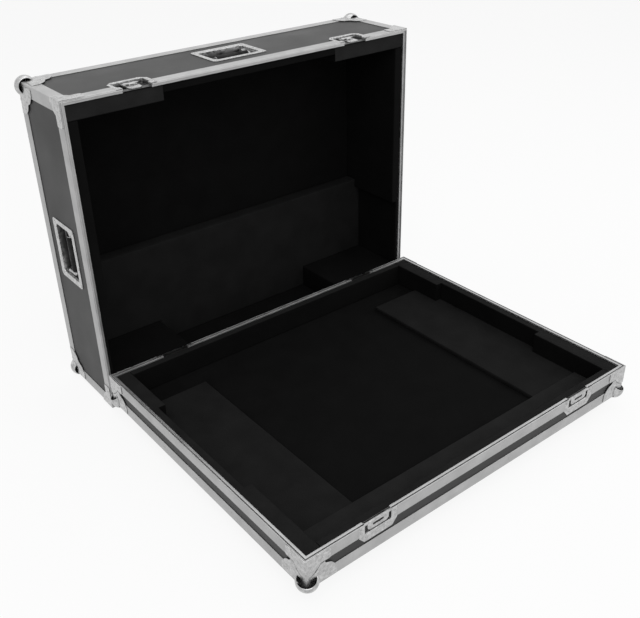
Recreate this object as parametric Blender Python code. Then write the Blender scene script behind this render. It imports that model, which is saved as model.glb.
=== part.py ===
"""Flight case for a mixing desk, open: a shallow base tray with its lift-off lid standing behind it.

Both halves are laminated plywood boxes with aluminium angles on their outer edges, a tongue or
groove rim round their open side, pressed ball corners and a foam lining. Four recessed latches
hold the lid down, and three sprung handles are let into it.

Each half is modelled in its own frame: x to the right, y along the depth, z from its closed
outer face up to its open rim. The base frame lies flat. The lid frame is turned up on the lid's
rear wall, so its z runs forward, towards the base.
Hardware is modelled in the frame of the wall it sits in: x along the wall, y into the wall from
the outer face, z towards the rim. Units are metres.
"""

import math

import bmesh
import bpy
from mathutils import Matrix, Vector

# Case
CASE_WIDTH = 1.030
CASE_DEPTH = 0.817
BASE_HEIGHT = 0.083
LID_HEIGHT = 0.238
PANEL = 0.007
SHEET = 0.0015
ANGLE_LEG = 0.030
SEAT = 0.0003

# Rim: closed lengths of aluminium profile, a groove in the base and a tongue on the lid
RIM_LEG = 0.028
TONGUE_HEIGHT = 0.0045
TONGUE_WIDTH = 0.0022
TONGUE_INSET = 0.0020
TONGUE_TAPER = 0.0003
TONGUE_PLAY = 0.0005
RIM_WEB = 0.002
RIM_LIP = 0.012
RIM_WIDTH = 0.0106

# Corner braces riveted over the rim: two arms, and a broad tongue down the case's edge
BRACE_LEG = 0.062
BRACE_ARM = 0.027
BRACE_DROP = 0.050
BRACE_THROAT = 0.039
BRACE_TONGUE = 0.024
BRACE_ROUND = 0.004
BRACE_SEAM = 0.0008
RIVET_RADIUS = 0.0026
RIVET_HEAD = 0.0006
RIVET_REACH = 0.044

# Ball corners
BALL_RADIUS = 0.025
BALL_PROUD = 0.012
BALL_WALL = 0.0016
BALL_OPEN = 0.027
EAR_REACH = 0.077
EAR_MARGIN = 0.005
EAR_SHOULDER = 0.024
EAR_LOBE = 0.064
EAR_LOBE_RISE = 0.043
EAR_CLEFT = 0.049
EAR_ROUND = 0.005

# Rubber feet
FOOT_HEIGHT = 0.040
FOOT_RADIUS = 0.022
FOOT_INSET = 0.095
FOOT_BAND = 0.004
FOOT_TAPER = 0.0025
FOOT_EDGE = 0.003
FOOT_BORE = 0.006
FOOT_BORE_DEPTH = 0.016
FOOT_SCREW_HOLE = 0.0021

# Latches, in the lid, and their strikes, in the base
LATCH_INSET = 0.1885
LATCH_WIDTH = 0.104
LATCH_LENGTH = 0.062
LATCH_CHAMFER = 0.014
STRIKE_LENGTH = 0.046
PAN_WALL = 0.0012
PAN_CORNER = 0.005
LATCH_PAN_WIDTH = 0.084
LATCH_PAN_END = 0.054
LATCH_PAN_TOP = 0.015
LATCH_PAN_DEPTH = 0.0125
MOUTH_WIDTH = 0.072
MOUTH_DEPTH = 0.0073
STRIKE_PAN_END = 0.026
STRIKE_LIP_DEPTH = 0.0040
STRIKE_LIP_LENGTH = 0.004
HUB_DROP = 0.028
HOOK_THICK = 0.002
HOOK_WIDTH = 0.034
HOOK_REACH = 0.024
HOOK_SHOULDER = 0.005
HOOK_STROKE = 0.016
NOSE_HEIGHT = 0.0036
NOSE_LENGTH = 0.004
CAM_RADIUS = 0.012
CAM_PIN_RADIUS = 0.0025
CAM_PLAY = 0.0021
SPINDLE_RADIUS = 0.003
HEAD_RADIUS = 0.0075
HEAD_THICK = 0.00075
LUG_GAP = 0.010
LUG_WIDTH = 0.002
LUG_HEIGHT = 0.0022
BARREL_RADIUS = 0.0016
PIVOT_RADIUS = 0.0008
WING_SPAN = 0.040
WING_DROP = 0.0125
WING_THICK = 0.0017
WING_LOBE = 0.008
WING_EASE = 0.0015
WING_WAIST = 0.004

# Sprung handles
HANDLE_WIDTH = 0.162
HANDLE_LENGTH = 0.120
HANDLE_PAN_WIDTH = 0.134
HANDLE_PAN_LENGTH = 0.088
HANDLE_PAN_DEPTH = 0.022
HANDLE_CORNER = 0.010
BAIL_ROD = 0.004
BAIL_SIDE_GAP = 0.002
BAIL_REACH = 0.046
BAIL_BEND = 0.012
BAIL_HEEL = 0.005
BAIL_END = 0.003
BAIL_AXIS_INSET = 0.012
GRIP_RADIUS = 0.0105
GRIP_SIDE_GAP = 0.0015
GRIP_RIB = 0.0008
GRIP_RIB_HALF = 0.0014
GRIP_RIBS = 5
GRIP_EDGE = 0.002
GRIP_END = 0.006
HANDLES = {"handle_front": ("high", 0.0), "handle_left": ("left", CASE_DEPTH / 2),
           "handle_right": ("right", CASE_DEPTH / 2)}

# Foam
FOAM_DROP = 0.004
BASE_SHEET = 0.004
BASE_WALL_FOAM = 0.031
BASE_BLOCK_FOAM = 0.050
BASE_BLOCK_FRONT = 0.250
BASE_BLOCK_REAR = 0.620
STRIP_EDGE = 0.110
STRIP_TOP = 0.030
PAD_THICK = 0.012
PAD_INNER = 0.215
PAD_REAR = 0.710
LID_SHEET = 0.010
LID_THIN_FOAM = 0.020
LID_SIDE_FOAM = 0.037
LID_SIDE_START = 0.300
LID_TOP_FOAM = 0.030
LID_TOP_BLOCK = 0.050
LID_BLOCK_LENGTH = 0.255
LID_REAR_BLOCK = 0.085
LID_PAD_THICK = 0.041
LID_PAD_HEIGHT = 0.326
FOAM_POCKET = 0.001

# Round pieces
BALL_SIDES = 16
ROUND_SIDES = 12
PIN_SIDES = 8
CORNER_STEPS = 3
CURVE_STEPS = 4

# Derived places
LATCH_PLACES = (LATCH_INSET - CASE_WIDTH / 2, CASE_WIDTH / 2 - LATCH_INSET)
PANEL_OUT = SHEET + SEAT
PANEL_IN = PANEL_OUT + PANEL
STAND_GAP = BALL_PROUD + TONGUE_HEIGHT + SEAT
TOTAL_DEPTH = 2 * BALL_PROUD + CASE_DEPTH + STAND_GAP + LID_HEIGHT
FRONT_Y = BALL_PROUD - TOTAL_DEPTH / 2
LID_BACK_Y = FRONT_Y + CASE_DEPTH + STAND_GAP + LID_HEIGHT
GROOVE_DEPTH = TONGUE_HEIGHT + TONGUE_PLAY
MOUTH_CUT = MOUTH_DEPTH + PAN_WALL + 2 * SEAT
HOOK_INNER = MOUTH_DEPTH - SEAT
HOOK_OUTER = HOOK_INNER - HOOK_THICK
HEAD_INNER = HOOK_OUTER - SEAT
HEAD_OUTER = HEAD_INNER - HEAD_THICK
WING_AXIS = HEAD_OUTER - SEAT - BARREL_RADIUS
CAM_OFFSET = HOOK_STROKE / 2
BAIL_SPAN = HANDLE_PAN_WIDTH - 2 * (BAIL_ROD + BAIL_SIDE_GAP)
GRIP_LENGTH = BAIL_SPAN - 2 * (BAIL_BEND + GRIP_SIDE_GAP)
BAIL_AXIS_DEPTH = GRIP_RADIUS
BAIL_AXIS_Z = BAIL_AXIS_INSET - HANDLE_PAN_LENGTH / 2


def material(name, colour, roughness, metallic):
    """One Principled material."""
    made = bpy.data.materials.new(name)
    made.use_nodes = True
    shader = made.node_tree.nodes["Principled BSDF"]
    shader.inputs["Base Color"].default_value = (*colour, 1.0)
    shader.inputs["Roughness"].default_value = roughness
    shader.inputs["Metallic"].default_value = metallic
    return made


def link(name, data, finish, parent=None, location=(0, 0, 0), turn=0.0):
    """Put a mesh or curve in the scene under its parent, turned about the parent's z axis."""
    item = bpy.data.objects.new(name, data)
    bpy.context.collection.objects.link(item)
    if finish is not None and not data.materials:
        data.materials.append(finish)
    item.parent = parent
    item.location = location
    item.rotation_euler = (0, 0, turn)
    return item


def frame_empty(name, parent, location, rotation):
    """An empty that carries a sub-assembly."""
    item = bpy.data.objects.new(name, None)
    bpy.context.collection.objects.link(item)
    item.parent = parent
    item.location = location
    item.rotation_euler = rotation
    return item


def mesh_from(bm, name):
    """Close a bmesh into mesh data with its faces pointing out."""
    bmesh.ops.recalc_face_normals(bm, faces=bm.faces)
    mesh = bpy.data.meshes.new(name)
    bm.to_mesh(mesh)
    bm.free()
    return mesh


def box(low, high):
    """A box between two corners."""
    low = Vector(low)
    high = Vector(high)
    bm = bmesh.new()
    place = Matrix.Translation((low + high) / 2) @ Matrix.Diagonal((*(high - low), 1))
    bmesh.ops.create_cube(bm, size=1.0, matrix=place)
    return mesh_from(bm, "box")


def prism(outline, start, end, axis="y"):
    """An outline pushed along an axis. Along y it lies in x and z, along z in x and y."""
    bm = bmesh.new()
    place = {"y": lambda a, b: (a, start, b), "z": lambda a, b: (a, b, start)}[axis]
    step = {"y": (0, end - start, 0), "z": (0, 0, end - start)}[axis]
    face = bm.faces.new([bm.verts.new(place(a, b)) for a, b in outline])
    pushed = bmesh.ops.extrude_face_region(bm, geom=[face])
    moved = [part for part in pushed["geom"] if isinstance(part, bmesh.types.BMVert)]
    bmesh.ops.translate(bm, verts=moved, vec=step)
    return mesh_from(bm, "prism")


def cylinder(radius, start, end, sides=ROUND_SIDES, axis="y", centre=(0, 0)):
    """A round bar along one axis. The centre gives the other two coordinates in order."""
    turn = {"x": Matrix.Rotation(math.pi / 2, 4, "Y"), "y": Matrix.Rotation(-math.pi / 2, 4, "X"),
            "z": Matrix.Identity(4)}[axis]
    middle = (start + end) / 2
    a, b = centre
    place = {"x": (middle, a, b), "y": (a, middle, b), "z": (a, b, middle)}[axis]
    bm = bmesh.new()
    bmesh.ops.create_cone(bm, cap_ends=True, segments=sides, radius1=radius, radius2=radius,
                          depth=end - start, matrix=Matrix.Translation(place) @ turn)
    return mesh_from(bm, "bar")


def turned(profile, sides, axis):
    """A closed profile of (radius, length) points spun about the x or z axis."""
    bm = bmesh.new()
    along = {"x": lambda r, d: (d, r, 0), "z": lambda r, d: (r, 0, d)}[axis]
    direction = {"x": (1, 0, 0), "z": (0, 0, 1)}[axis]
    points = [bm.verts.new(along(r, d)) for r, d in profile]
    ends = points[1:] + points[:1]
    edges = [bm.edges.new(pair) for pair in zip(points, ends)]
    bmesh.ops.spin(bm, geom=points + edges, cent=(0, 0, 0), axis=direction, angle=2 * math.pi,
                   steps=sides, use_merge=True, use_duplicate=False)
    return mesh_from(bm, "turned")


def rounded(width, low, high, radius, steps=CORNER_STEPS):
    """A rectangle centred on x with four rounded corners, as (x, z) points."""
    half = width / 2 - radius
    centres = [(half, high - radius, 0), (-half, high - radius, 1),
               (-half, low + radius, 2), (half, low + radius, 3)]
    points = []
    for cx, cz, quarter in centres:
        for step in range(steps + 1):
            angle = (quarter + step / steps) * math.pi / 2
            points.append((cx + radius * math.cos(angle), cz + radius * math.sin(angle)))
    return points


def combine(first, others, operation):
    """Join or cut one mesh with others in turn, and return the result as a new mesh."""
    for other in others:
        body = bpy.data.objects.new("body", first)
        tool = bpy.data.objects.new("tool", other)
        bpy.context.collection.objects.link(body)
        bpy.context.collection.objects.link(tool)
        boolean = body.modifiers.new("combine", "BOOLEAN")
        boolean.operation = operation
        boolean.solver = "EXACT"
        boolean.object = tool
        bpy.context.view_layer.update()
        graph = bpy.context.evaluated_depsgraph_get()
        result = bpy.data.meshes.new_from_object(body.evaluated_get(graph))
        bpy.data.objects.remove(body)
        bpy.data.objects.remove(tool)
        first = result
    return first


def joined(first, *others):
    """The union of meshes."""
    return combine(first, others, "UNION")


def without(first, *others):
    """A mesh with others cut out of it."""
    return combine(first, others, "DIFFERENCE")


def turned_copy(mesh, matrix):
    """A copy of a mesh put through a matrix, which may mirror it."""
    copy = bmesh.new()
    copy.from_mesh(mesh)
    bmesh.ops.transform(copy, matrix=matrix, verts=copy.verts)
    return mesh_from(copy, "copy")


def sharpen(mesh, angle=35):
    """Shade a round piece smooth between its sharp edges."""
    mesh.shade_smooth()
    mesh.set_sharp_from_angle(angle=math.radians(angle))
    return mesh


def box_panels(half, top, finish, parent, cuts):
    """The closed panel and four walls of one half. The walls stop below the rim's web."""
    x_out = CASE_WIDTH / 2 - PANEL_OUT
    x_in = CASE_WIDTH / 2 - PANEL_IN
    y_low, y_high = PANEL_OUT, CASE_DEPTH - PANEL_OUT
    foot = PANEL_IN + SEAT
    far, near = ("rear", "front") if half == "lid" else ("front", "rear")
    panels = {
        f"{half}_{'top_panel' if half == 'lid' else 'floor'}":
            ((-x_out, y_low, PANEL_OUT), (x_out, y_high, PANEL_IN)),
        f"{half}_{far}_wall": ((-x_out, y_low, foot), (x_out, y_low + PANEL, top)),
        f"{half}_{near}_wall": ((-x_out, y_high - PANEL, foot), (x_out, y_high, top)),
        f"{half}_left_wall": ((-x_out, y_low + PANEL + SEAT, foot), (-x_in, y_high - PANEL - SEAT, top)),
        f"{half}_right_wall": ((x_in, y_low + PANEL + SEAT, foot), (x_out, y_high - PANEL - SEAT, top)),
    }
    for name, (low, high) in panels.items():
        link(name, without(box(low, high), *cuts.get(name, [])), finish, parent)


def edge_frame(name, top, finish, parent):
    """Angles round the closed face and up the four corners, one sheet thick."""
    xs = [-CASE_WIDTH / 2, ANGLE_LEG - CASE_WIDTH / 2, CASE_WIDTH / 2 - ANGLE_LEG, CASE_WIDTH / 2]
    ys = [0, ANGLE_LEG, CASE_DEPTH - ANGLE_LEG, CASE_DEPTH]
    zs = [0, ANGLE_LEG, top]
    bm = bmesh.new()
    cache = {}

    def corner(x, y, z):
        key = (round(x, 6), round(y, 6), round(z, 6))
        if key not in cache:
            cache[key] = bm.verts.new((x, y, z))
        return cache[key]

    for i in range(3):
        for j in range(3):
            if (i, j) != (1, 1):
                quad = [(xs[i], ys[j]), (xs[i + 1], ys[j]), (xs[i + 1], ys[j + 1]), (xs[i], ys[j + 1])]
                bm.faces.new([corner(x, y, 0) for x, y in reversed(quad)])
    for level in range(2):
        for i in range(3):
            if level == 0 or i != 1:
                low, high = zs[level], zs[level + 1]
                for y, flip in ((ys[0], False), (ys[3], True)):
                    quad = [(xs[i], low), (xs[i + 1], low), (xs[i + 1], high), (xs[i], high)]
                    ring = [corner(x, y, z) for x, z in quad]
                    bm.faces.new(ring[::-1] if flip else ring)
                for x, flip in ((xs[0], True), (xs[3], False)):
                    quad = [(ys[i], low), (ys[i + 1], low), (ys[i + 1], high), (ys[i], high)]
                    ring = [corner(x, y, z) for y, z in quad]
                    bm.faces.new(ring[::-1] if flip else ring)
    mesh = bpy.data.meshes.new(name)
    bm.to_mesh(mesh)
    bm.free()
    item = link(name, mesh, finish, parent)
    wall = item.modifiers.new("sheet", "SOLIDIFY")
    wall.thickness = SHEET
    wall.offset = -1
    wall.use_even_offset = True
    return item


def rim_ring(profile, height):
    """A profile of (inset, rise) points carried round the four sides with mitred corners."""
    bm = bmesh.new()
    loops = []
    for sx, sy in ((-1, -1), (1, -1), (1, 1), (-1, 1)):
        loops.append([bm.verts.new((sx * (CASE_WIDTH / 2 - inset),
                                    CASE_DEPTH / 2 + sy * (CASE_DEPTH / 2 - inset), height + rise))
                      for inset, rise in profile])
    count = len(profile)
    for side in range(4):
        here, there = loops[side], loops[(side + 1) % 4]
        for k in range(count):
            bm.faces.new([here[k], there[k], there[(k + 1) % count], here[(k + 1) % count]])
    return mesh_from(bm, "rim")


def brace_outline(gap=0.0):
    """Half of a brace laid flat, from the rim to its lower tip, as (reach along the wall, rise)."""
    arm = -BRACE_ARM - gap
    points = [(BRACE_LEG + gap - BRACE_ROUND, -SEAT), (BRACE_LEG + gap, -BRACE_ROUND),
              (BRACE_LEG + gap, arm + BRACE_ROUND), (BRACE_LEG + gap - BRACE_ROUND, arm),
              (BRACE_THROAT + gap, arm)]
    width, drop = BRACE_THROAT - BRACE_TONGUE, BRACE_DROP - BRACE_ARM
    for step in range(1, CURVE_STEPS):
        angle = step / CURVE_STEPS * math.pi / 2
        points.append((BRACE_TONGUE + gap + width * (1 - math.sin(angle)) * EAR_CLEFT / EAR_LOBE,
                       arm - drop * (1 - math.cos(angle))))
    return points + [(BRACE_TONGUE, -BRACE_DROP - gap)]


def brace(sx, sy, height):
    """A plate bent round one vertical edge, with two arms on the rim and a tongue down the edge."""
    bm = bmesh.new()
    middle = CASE_DEPTH / 2

    def place(reach_x, reach_y, rise):
        return bm.verts.new((sx * (CASE_WIDTH / 2 + SEAT - reach_x),
                             middle + sy * (middle + SEAT - reach_y), height + rise))

    outline = brace_outline()
    top = place(0, 0, -SEAT)
    foot = place(0, 0, -BRACE_DROP)
    arm_x = [top] + [place(reach, 0, rise) for reach, rise in outline] + [foot]
    arm_y = [foot] + [place(0, reach, rise) for reach, rise in reversed(outline)] + [top]
    faces = [bm.faces.new(arm) for arm in (arm_x, arm_y)]
    if sx * sy > 0:
        bmesh.ops.reverse_faces(bm, faces=faces)
    mesh = bpy.data.meshes.new("brace")
    bm.to_mesh(mesh)
    bm.free()
    body = bpy.data.objects.new("brace", mesh)
    bpy.context.collection.objects.link(body)
    wall = body.modifiers.new("sheet", "SOLIDIFY")
    wall.thickness = SHEET
    wall.offset = 1
    wall.use_even_offset = True
    bpy.context.view_layer.update()
    made = bpy.data.meshes.new_from_object(body.evaluated_get(bpy.context.evaluated_depsgraph_get()))
    bpy.data.objects.remove(body)
    return made


def brace_rivets(sx, sy, height):
    """The two rivets that hold a brace, one through each arm into the rim."""
    level = height - BRACE_ARM / 2
    out = SEAT + SHEET + RIVET_HEAD
    x = sorted((sx * (CASE_WIDTH / 2 + out), sx * (CASE_WIDTH / 2 - SHEET / 2)))
    y = sorted(CASE_DEPTH / 2 + sy * (CASE_DEPTH / 2 + reach) for reach in (out, -SHEET / 2))
    along_x = sx * (CASE_WIDTH / 2 - RIVET_REACH)
    along_y = CASE_DEPTH / 2 + sy * (CASE_DEPTH / 2 - RIVET_REACH)
    return [cylinder(RIVET_RADIUS, *x, sides=PIN_SIDES, axis="x", centre=(along_y, level)),
            cylinder(RIVET_RADIUS, *y, sides=PIN_SIDES, centre=(along_x, level))]


def rim_notches(height):
    """Cuts in the rim for the latch plates, and deeper ones for their mouths, at the four latches."""
    cuts = []
    plate = LATCH_WIDTH / 2 + SEAT
    mouth = MOUTH_WIDTH / 2 + PAN_WALL + SEAT
    low, top = height - RIM_LEG - SEAT, height + 2 * TONGUE_HEIGHT
    for x in LATCH_PLACES:
        for depth, half in ((PANEL_OUT, plate), (MOUTH_CUT, mouth)):
            cuts.append(box((x - half, -SHEET, low), (x + half, depth, top)))
            cuts.append(box((x - half, CASE_DEPTH - depth, low), (x + half, CASE_DEPTH + SHEET, top)))
    return cuts


def rim(half, height, finish, parent):
    """One rim with its four corner braces. The base has the groove, the lid the tongue."""
    inner = RIM_WIDTH - SHEET
    if half == "lid":
        far = TONGUE_INSET + TONGUE_WIDTH
        profile = [(0, -RIM_LEG), (0, 0), (TONGUE_INSET, 0), (TONGUE_INSET + TONGUE_TAPER, TONGUE_HEIGHT),
                   (far - TONGUE_TAPER, TONGUE_HEIGHT), (far, 0), (RIM_WIDTH, 0), (RIM_WIDTH, -RIM_LIP),
                   (inner, -RIM_LIP), (inner, -RIM_WEB), (SHEET, -RIM_WEB), (SHEET, -RIM_LEG)]
    else:
        near = TONGUE_INSET - TONGUE_PLAY
        far = TONGUE_INSET + TONGUE_WIDTH + TONGUE_PLAY
        floor = -GROOVE_DEPTH
        profile = [(0, -RIM_LEG), (0, 0), (near, 0), (near, floor), (far, floor), (far, 0),
                   (RIM_WIDTH, 0), (RIM_WIDTH, -RIM_LIP), (inner, -RIM_LIP),
                   (inner, floor - RIM_WEB), (SHEET, floor - RIM_WEB), (SHEET, -RIM_LEG)]
    ring = without(rim_ring(profile, height), *rim_notches(height))
    for sx in (-1, 1):
        for sy in (-1, 1):
            ring = joined(ring, joined(brace(sx, sy, height), *brace_rivets(sx, sy, height)))
    link(f"{half}_rim", ring, finish, parent)


def ear_outline():
    """One ear of a ball corner: two lobes, in distances from the case's point along its edges."""
    middle = ((EAR_LOBE + EAR_CLEFT) / 2, (EAR_LOBE_RISE + EAR_CLEFT) / 2)
    lobe = [(EAR_REACH, EAR_MARGIN), (EAR_REACH, EAR_SHOULDER),
            (EAR_REACH - EAR_ROUND / 2, EAR_SHOULDER + EAR_ROUND), (EAR_LOBE, EAR_LOBE_RISE), middle]
    other = [(b, a) for a, b in reversed(lobe)]
    return lobe + [(EAR_CLEFT, EAR_CLEFT)] + other + [(2 * EAR_MARGIN, 2 * EAR_MARGIN)]


def cup_mesh(radius, top):
    """A half ball near the case's corner that runs on straight up to a flat top."""
    inset = BALL_RADIUS - BALL_PROUD
    rings = BALL_SIDES // 4
    angles = [step / rings * math.pi / 2 for step in range(rings + 1)]
    curve = [(radius * math.sin(angle), inset - radius * math.cos(angle)) for angle in angles]
    bm = bmesh.new()
    points = [bm.verts.new((r, 0, z)) for r, z in curve + [(radius, top), (0, top)]]
    edges = [bm.edges.new(pair) for pair in zip(points, points[1:])]
    bmesh.ops.spin(bm, geom=points + edges, cent=(0, 0, 0), axis=(0, 0, 1), angle=2 * math.pi,
                   steps=BALL_SIDES, use_merge=True, use_duplicate=False)
    bmesh.ops.remove_doubles(bm, verts=bm.verts, dist=SEAT / 10)
    bmesh.ops.translate(bm, verts=bm.verts, vec=(inset, inset, 0))
    return mesh_from(bm, "cup")


def ball_corner_mesh(height=None):
    """A hollow cup with three ears, lying outside the case's corner. The cup is open to the rim.

    Where a height is given, the ears on the walls stop short of the brace at that height.
    """
    outer = cup_mesh(BALL_RADIUS, BALL_OPEN)
    inner = cup_mesh(BALL_RADIUS - BALL_WALL, 2 * BALL_OPEN)
    ears = prism(ear_outline(), -SEAT - SHEET, -SEAT, axis="z")
    swap_yz = Matrix(((1, 0, 0, 0), (0, 0, 1, 0), (0, 1, 0, 0), (0, 0, 0, 1)))
    swap_xy = Matrix(((0, 1, 0, 0), (1, 0, 0, 0), (0, 0, 1, 0), (0, 0, 0, 1)))
    wall_ear = turned_copy(ears, swap_yz)
    if height is not None:
        notch = [(reach, height + rise) for reach, rise in brace_outline(BRACE_SEAM)]
        notch = [(-BALL_RADIUS, height), *notch, (-BALL_RADIUS, height - BRACE_DROP - BRACE_SEAM)]
        wall_ear = without(wall_ear, prism(notch, -BALL_RADIUS, BALL_RADIUS))
    reach = 4 * BALL_RADIUS
    room = box((-SEAT, -SEAT, -SEAT), (reach, reach, reach))
    ball = joined(outer, ears, wall_ear, turned_copy(wall_ear, swap_xy))
    return sharpen(without(ball, inner, room))


def corners(half, mesh, finish, parent):
    """The same ball corner at the four corners, turned by quarters."""
    near, far = ("rear", "front") if half == "lid" else ("front", "rear")
    places = {f"{near}_left": (-1, 0, 0), f"{near}_right": (1, 0, 1),
              f"{far}_right": (1, CASE_DEPTH, 2), f"{far}_left": (-1, CASE_DEPTH, 3)}
    for name, (sx, y, quarter) in places.items():
        link(f"{half}_ball_{name}", mesh, finish, parent, (sx * CASE_WIDTH / 2, y, 0), quarter * math.pi / 2)


def foot_mesh():
    """A turned rubber foot with a screw recess in its underside."""
    top = PANEL_OUT - SEAT
    low = -FOOT_HEIGHT
    neck = FOOT_RADIUS - FOOT_TAPER
    recess = low + FOOT_BORE_DEPTH
    profile = [(FOOT_SCREW_HOLE, top), (FOOT_RADIUS, top), (FOOT_RADIUS, top - FOOT_BAND),
               (neck, low + FOOT_EDGE), (neck - FOOT_EDGE, low), (FOOT_BORE, low),
               (FOOT_BORE, recess), (FOOT_SCREW_HOLE, recess)]
    return sharpen(turned(profile, ROUND_SIDES, "z"))


def plate_outline(width, low, high):
    """A latch plate: a square edge at the rim and its other two corners cut off."""
    half, cut = width / 2, LATCH_CHAMFER
    left = [(-half, high), (-half, low + cut), (cut - half, low)]
    return left + [(-x, z) for x, z in reversed(left)]


def latch_pan():
    """The lid's half of a latch: a deep pan for the key and a shallow mouth out through the rim."""
    low = -LATCH_PAN_END
    body = prism(plate_outline(LATCH_WIDTH, -LATCH_LENGTH, -SEAT), 0, SHEET)
    deep = prism(rounded(LATCH_PAN_WIDTH + 2 * PAN_WALL, low - PAN_WALL, PAN_WALL - LATCH_PAN_TOP,
                         PAN_CORNER + PAN_WALL), SHEET / 2, LATCH_PAN_DEPTH + PAN_WALL)
    half = MOUTH_WIDTH / 2
    shallow = box((-half - PAN_WALL, SHEET / 2, -LATCH_PAN_TOP - 2 * PAN_CORNER),
                  (half + PAN_WALL, MOUTH_DEPTH + PAN_WALL, -SEAT))
    inside = prism(rounded(LATCH_PAN_WIDTH, low, -LATCH_PAN_TOP, PAN_CORNER), -SHEET, LATCH_PAN_DEPTH)
    mouth = box((-half, -SHEET, -LATCH_PAN_TOP - 2 * PAN_CORNER), (half, MOUTH_DEPTH, SHEET))
    return without(joined(body, deep, shallow), inside, mouth)


def strike_pan():
    """The base's half of a latch: a shallow pan, and a lip across its mouth that the hook catches."""
    half = MOUTH_WIDTH / 2
    body = prism(plate_outline(LATCH_WIDTH, -STRIKE_LENGTH, -SEAT), 0, SHEET)
    shell = box((-half - PAN_WALL, SHEET / 2, -STRIKE_PAN_END - PAN_WALL),
                (half + PAN_WALL, MOUTH_DEPTH + PAN_WALL, -SEAT))
    lip = box((-half - PAN_WALL / 2, 0, -SEAT - STRIKE_LIP_LENGTH),
              (half + PAN_WALL / 2, STRIKE_LIP_DEPTH, -SEAT))
    inside = box((-half, -SHEET, -STRIKE_PAN_END), (half, MOUTH_DEPTH, SHEET))
    return joined(without(joined(body, shell), inside), lip)


def hub_mesh():
    """The turning part of a latch: a cam with its pin, a spindle, and a head with two lugs."""
    cam = cylinder(CAM_RADIUS, HOOK_INNER + SEAT, LATCH_PAN_DEPTH - SEAT)
    sunk = HOOK_INNER + 2 * SEAT
    spindle = cylinder(SPINDLE_RADIUS, HEAD_OUTER + HEAD_THICK / 2, sunk, sides=PIN_SIDES)
    pin = cylinder(CAM_PIN_RADIUS, HOOK_OUTER, sunk, sides=PIN_SIDES, centre=(0, -CAM_OFFSET))
    head = cylinder(HEAD_RADIUS, HEAD_OUTER, HEAD_INNER)
    body = joined(cam, spindle, pin, head)
    bore = PIVOT_RADIUS + 1.5 * SEAT
    foot = HEAD_OUTER + HEAD_THICK / 2
    for side in (-1, 1):
        near, far = sorted((side * LUG_GAP / 2, side * (LUG_GAP / 2 + LUG_WIDTH)))
        lug = box((near, WING_AXIS - LUG_HEIGHT / 2, -LUG_HEIGHT), (far, foot, LUG_HEIGHT))
        hole = cylinder(bore, near - SEAT, far + SEAT, sides=PIN_SIDES, axis="x", centre=(WING_AXIS, 0))
        body = joined(body, without(lug, hole))
    return sharpen(body)


def wing_mesh():
    """The folding wing of a latch key: a two-lobed plate on a barrel with pivot stubs."""
    half = WING_SPAN / 2
    neck = LUG_GAP / 2 - SEAT
    shoulder = -LUG_HEIGHT - 2 * SEAT
    right = [(neck, 0), (neck, shoulder), (half - WING_EASE, shoulder)]
    for step in range(CURVE_STEPS + 1):
        angle = step / CURVE_STEPS * math.pi / 2
        right.append((half - WING_LOBE + WING_LOBE * math.cos(angle),
                      shoulder - WING_EASE - (WING_DROP - WING_WAIST) * math.sin(angle)))
    right.append((WING_WAIST, WING_EASE - WING_DROP))
    left = [(-x, z) for x, z in reversed(right)]
    plate = prism(right + left, -WING_THICK / 2, WING_THICK / 2)
    barrel = cylinder(BARREL_RADIUS, -neck, neck, sides=PIN_SIDES, axis="x")
    stub = LUG_GAP / 2 + LUG_WIDTH
    pivot = cylinder(PIVOT_RADIUS, -stub, stub, sides=PIN_SIDES, axis="x")
    return sharpen(joined(plate, barrel, pivot))


def hook_mesh():
    """The sliding hook of a latch: a plate with a cross slot for spindle and cam pin, and a nose."""
    half = HOOK_WIDTH / 2
    nose_half = half - HOOK_SHOULDER
    outline = [(-half, -HOOK_REACH), (half, -HOOK_REACH), (half, HOOK_REACH - HOOK_SHOULDER),
               (nose_half, HOOK_REACH), (-nose_half, HOOK_REACH), (-half, HOOK_REACH - HOOK_SHOULDER)]
    plate = prism(outline, HOOK_OUTER, HOOK_INNER)
    nose = box((-nose_half, HOOK_INNER - NOSE_HEIGHT, HOOK_REACH - NOSE_LENGTH),
               (nose_half, (HOOK_INNER + HOOK_OUTER) / 2, HOOK_REACH))
    run = SPINDLE_RADIUS + SEAT
    along = box((-run, 0, -HOOK_STROKE - run), (run, LATCH_PAN_DEPTH, run))
    swing = CAM_OFFSET + CAM_PIN_RADIUS + 2 * SEAT
    play = CAM_PIN_RADIUS + CAM_PLAY
    across = box((-swing, 0, -CAM_OFFSET - play), (swing, LATCH_PAN_DEPTH, play - CAM_OFFSET))
    return without(joined(plate, nose), along, across)


def handle_pan():
    """A pressed handle dish with two bores for the bail's ends."""
    half = HANDLE_PAN_LENGTH / 2
    pan = without(
        joined(prism(rounded(HANDLE_WIDTH, -HANDLE_LENGTH / 2, HANDLE_LENGTH / 2, HANDLE_CORNER), 0, SHEET),
               prism(rounded(HANDLE_PAN_WIDTH + 2 * PAN_WALL, -half - PAN_WALL, half + PAN_WALL,
                             HANDLE_CORNER + PAN_WALL), SHEET / 2, HANDLE_PAN_DEPTH + PAN_WALL)),
        prism(rounded(HANDLE_PAN_WIDTH, -half, half, HANDLE_CORNER), -SHEET, HANDLE_PAN_DEPTH))
    bore = cylinder(BAIL_ROD + 2 * SEAT, -HANDLE_WIDTH / 2, HANDLE_WIDTH / 2, axis="x",
                    centre=(BAIL_AXIS_DEPTH, BAIL_AXIS_Z))
    return without(pan, bore)


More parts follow.
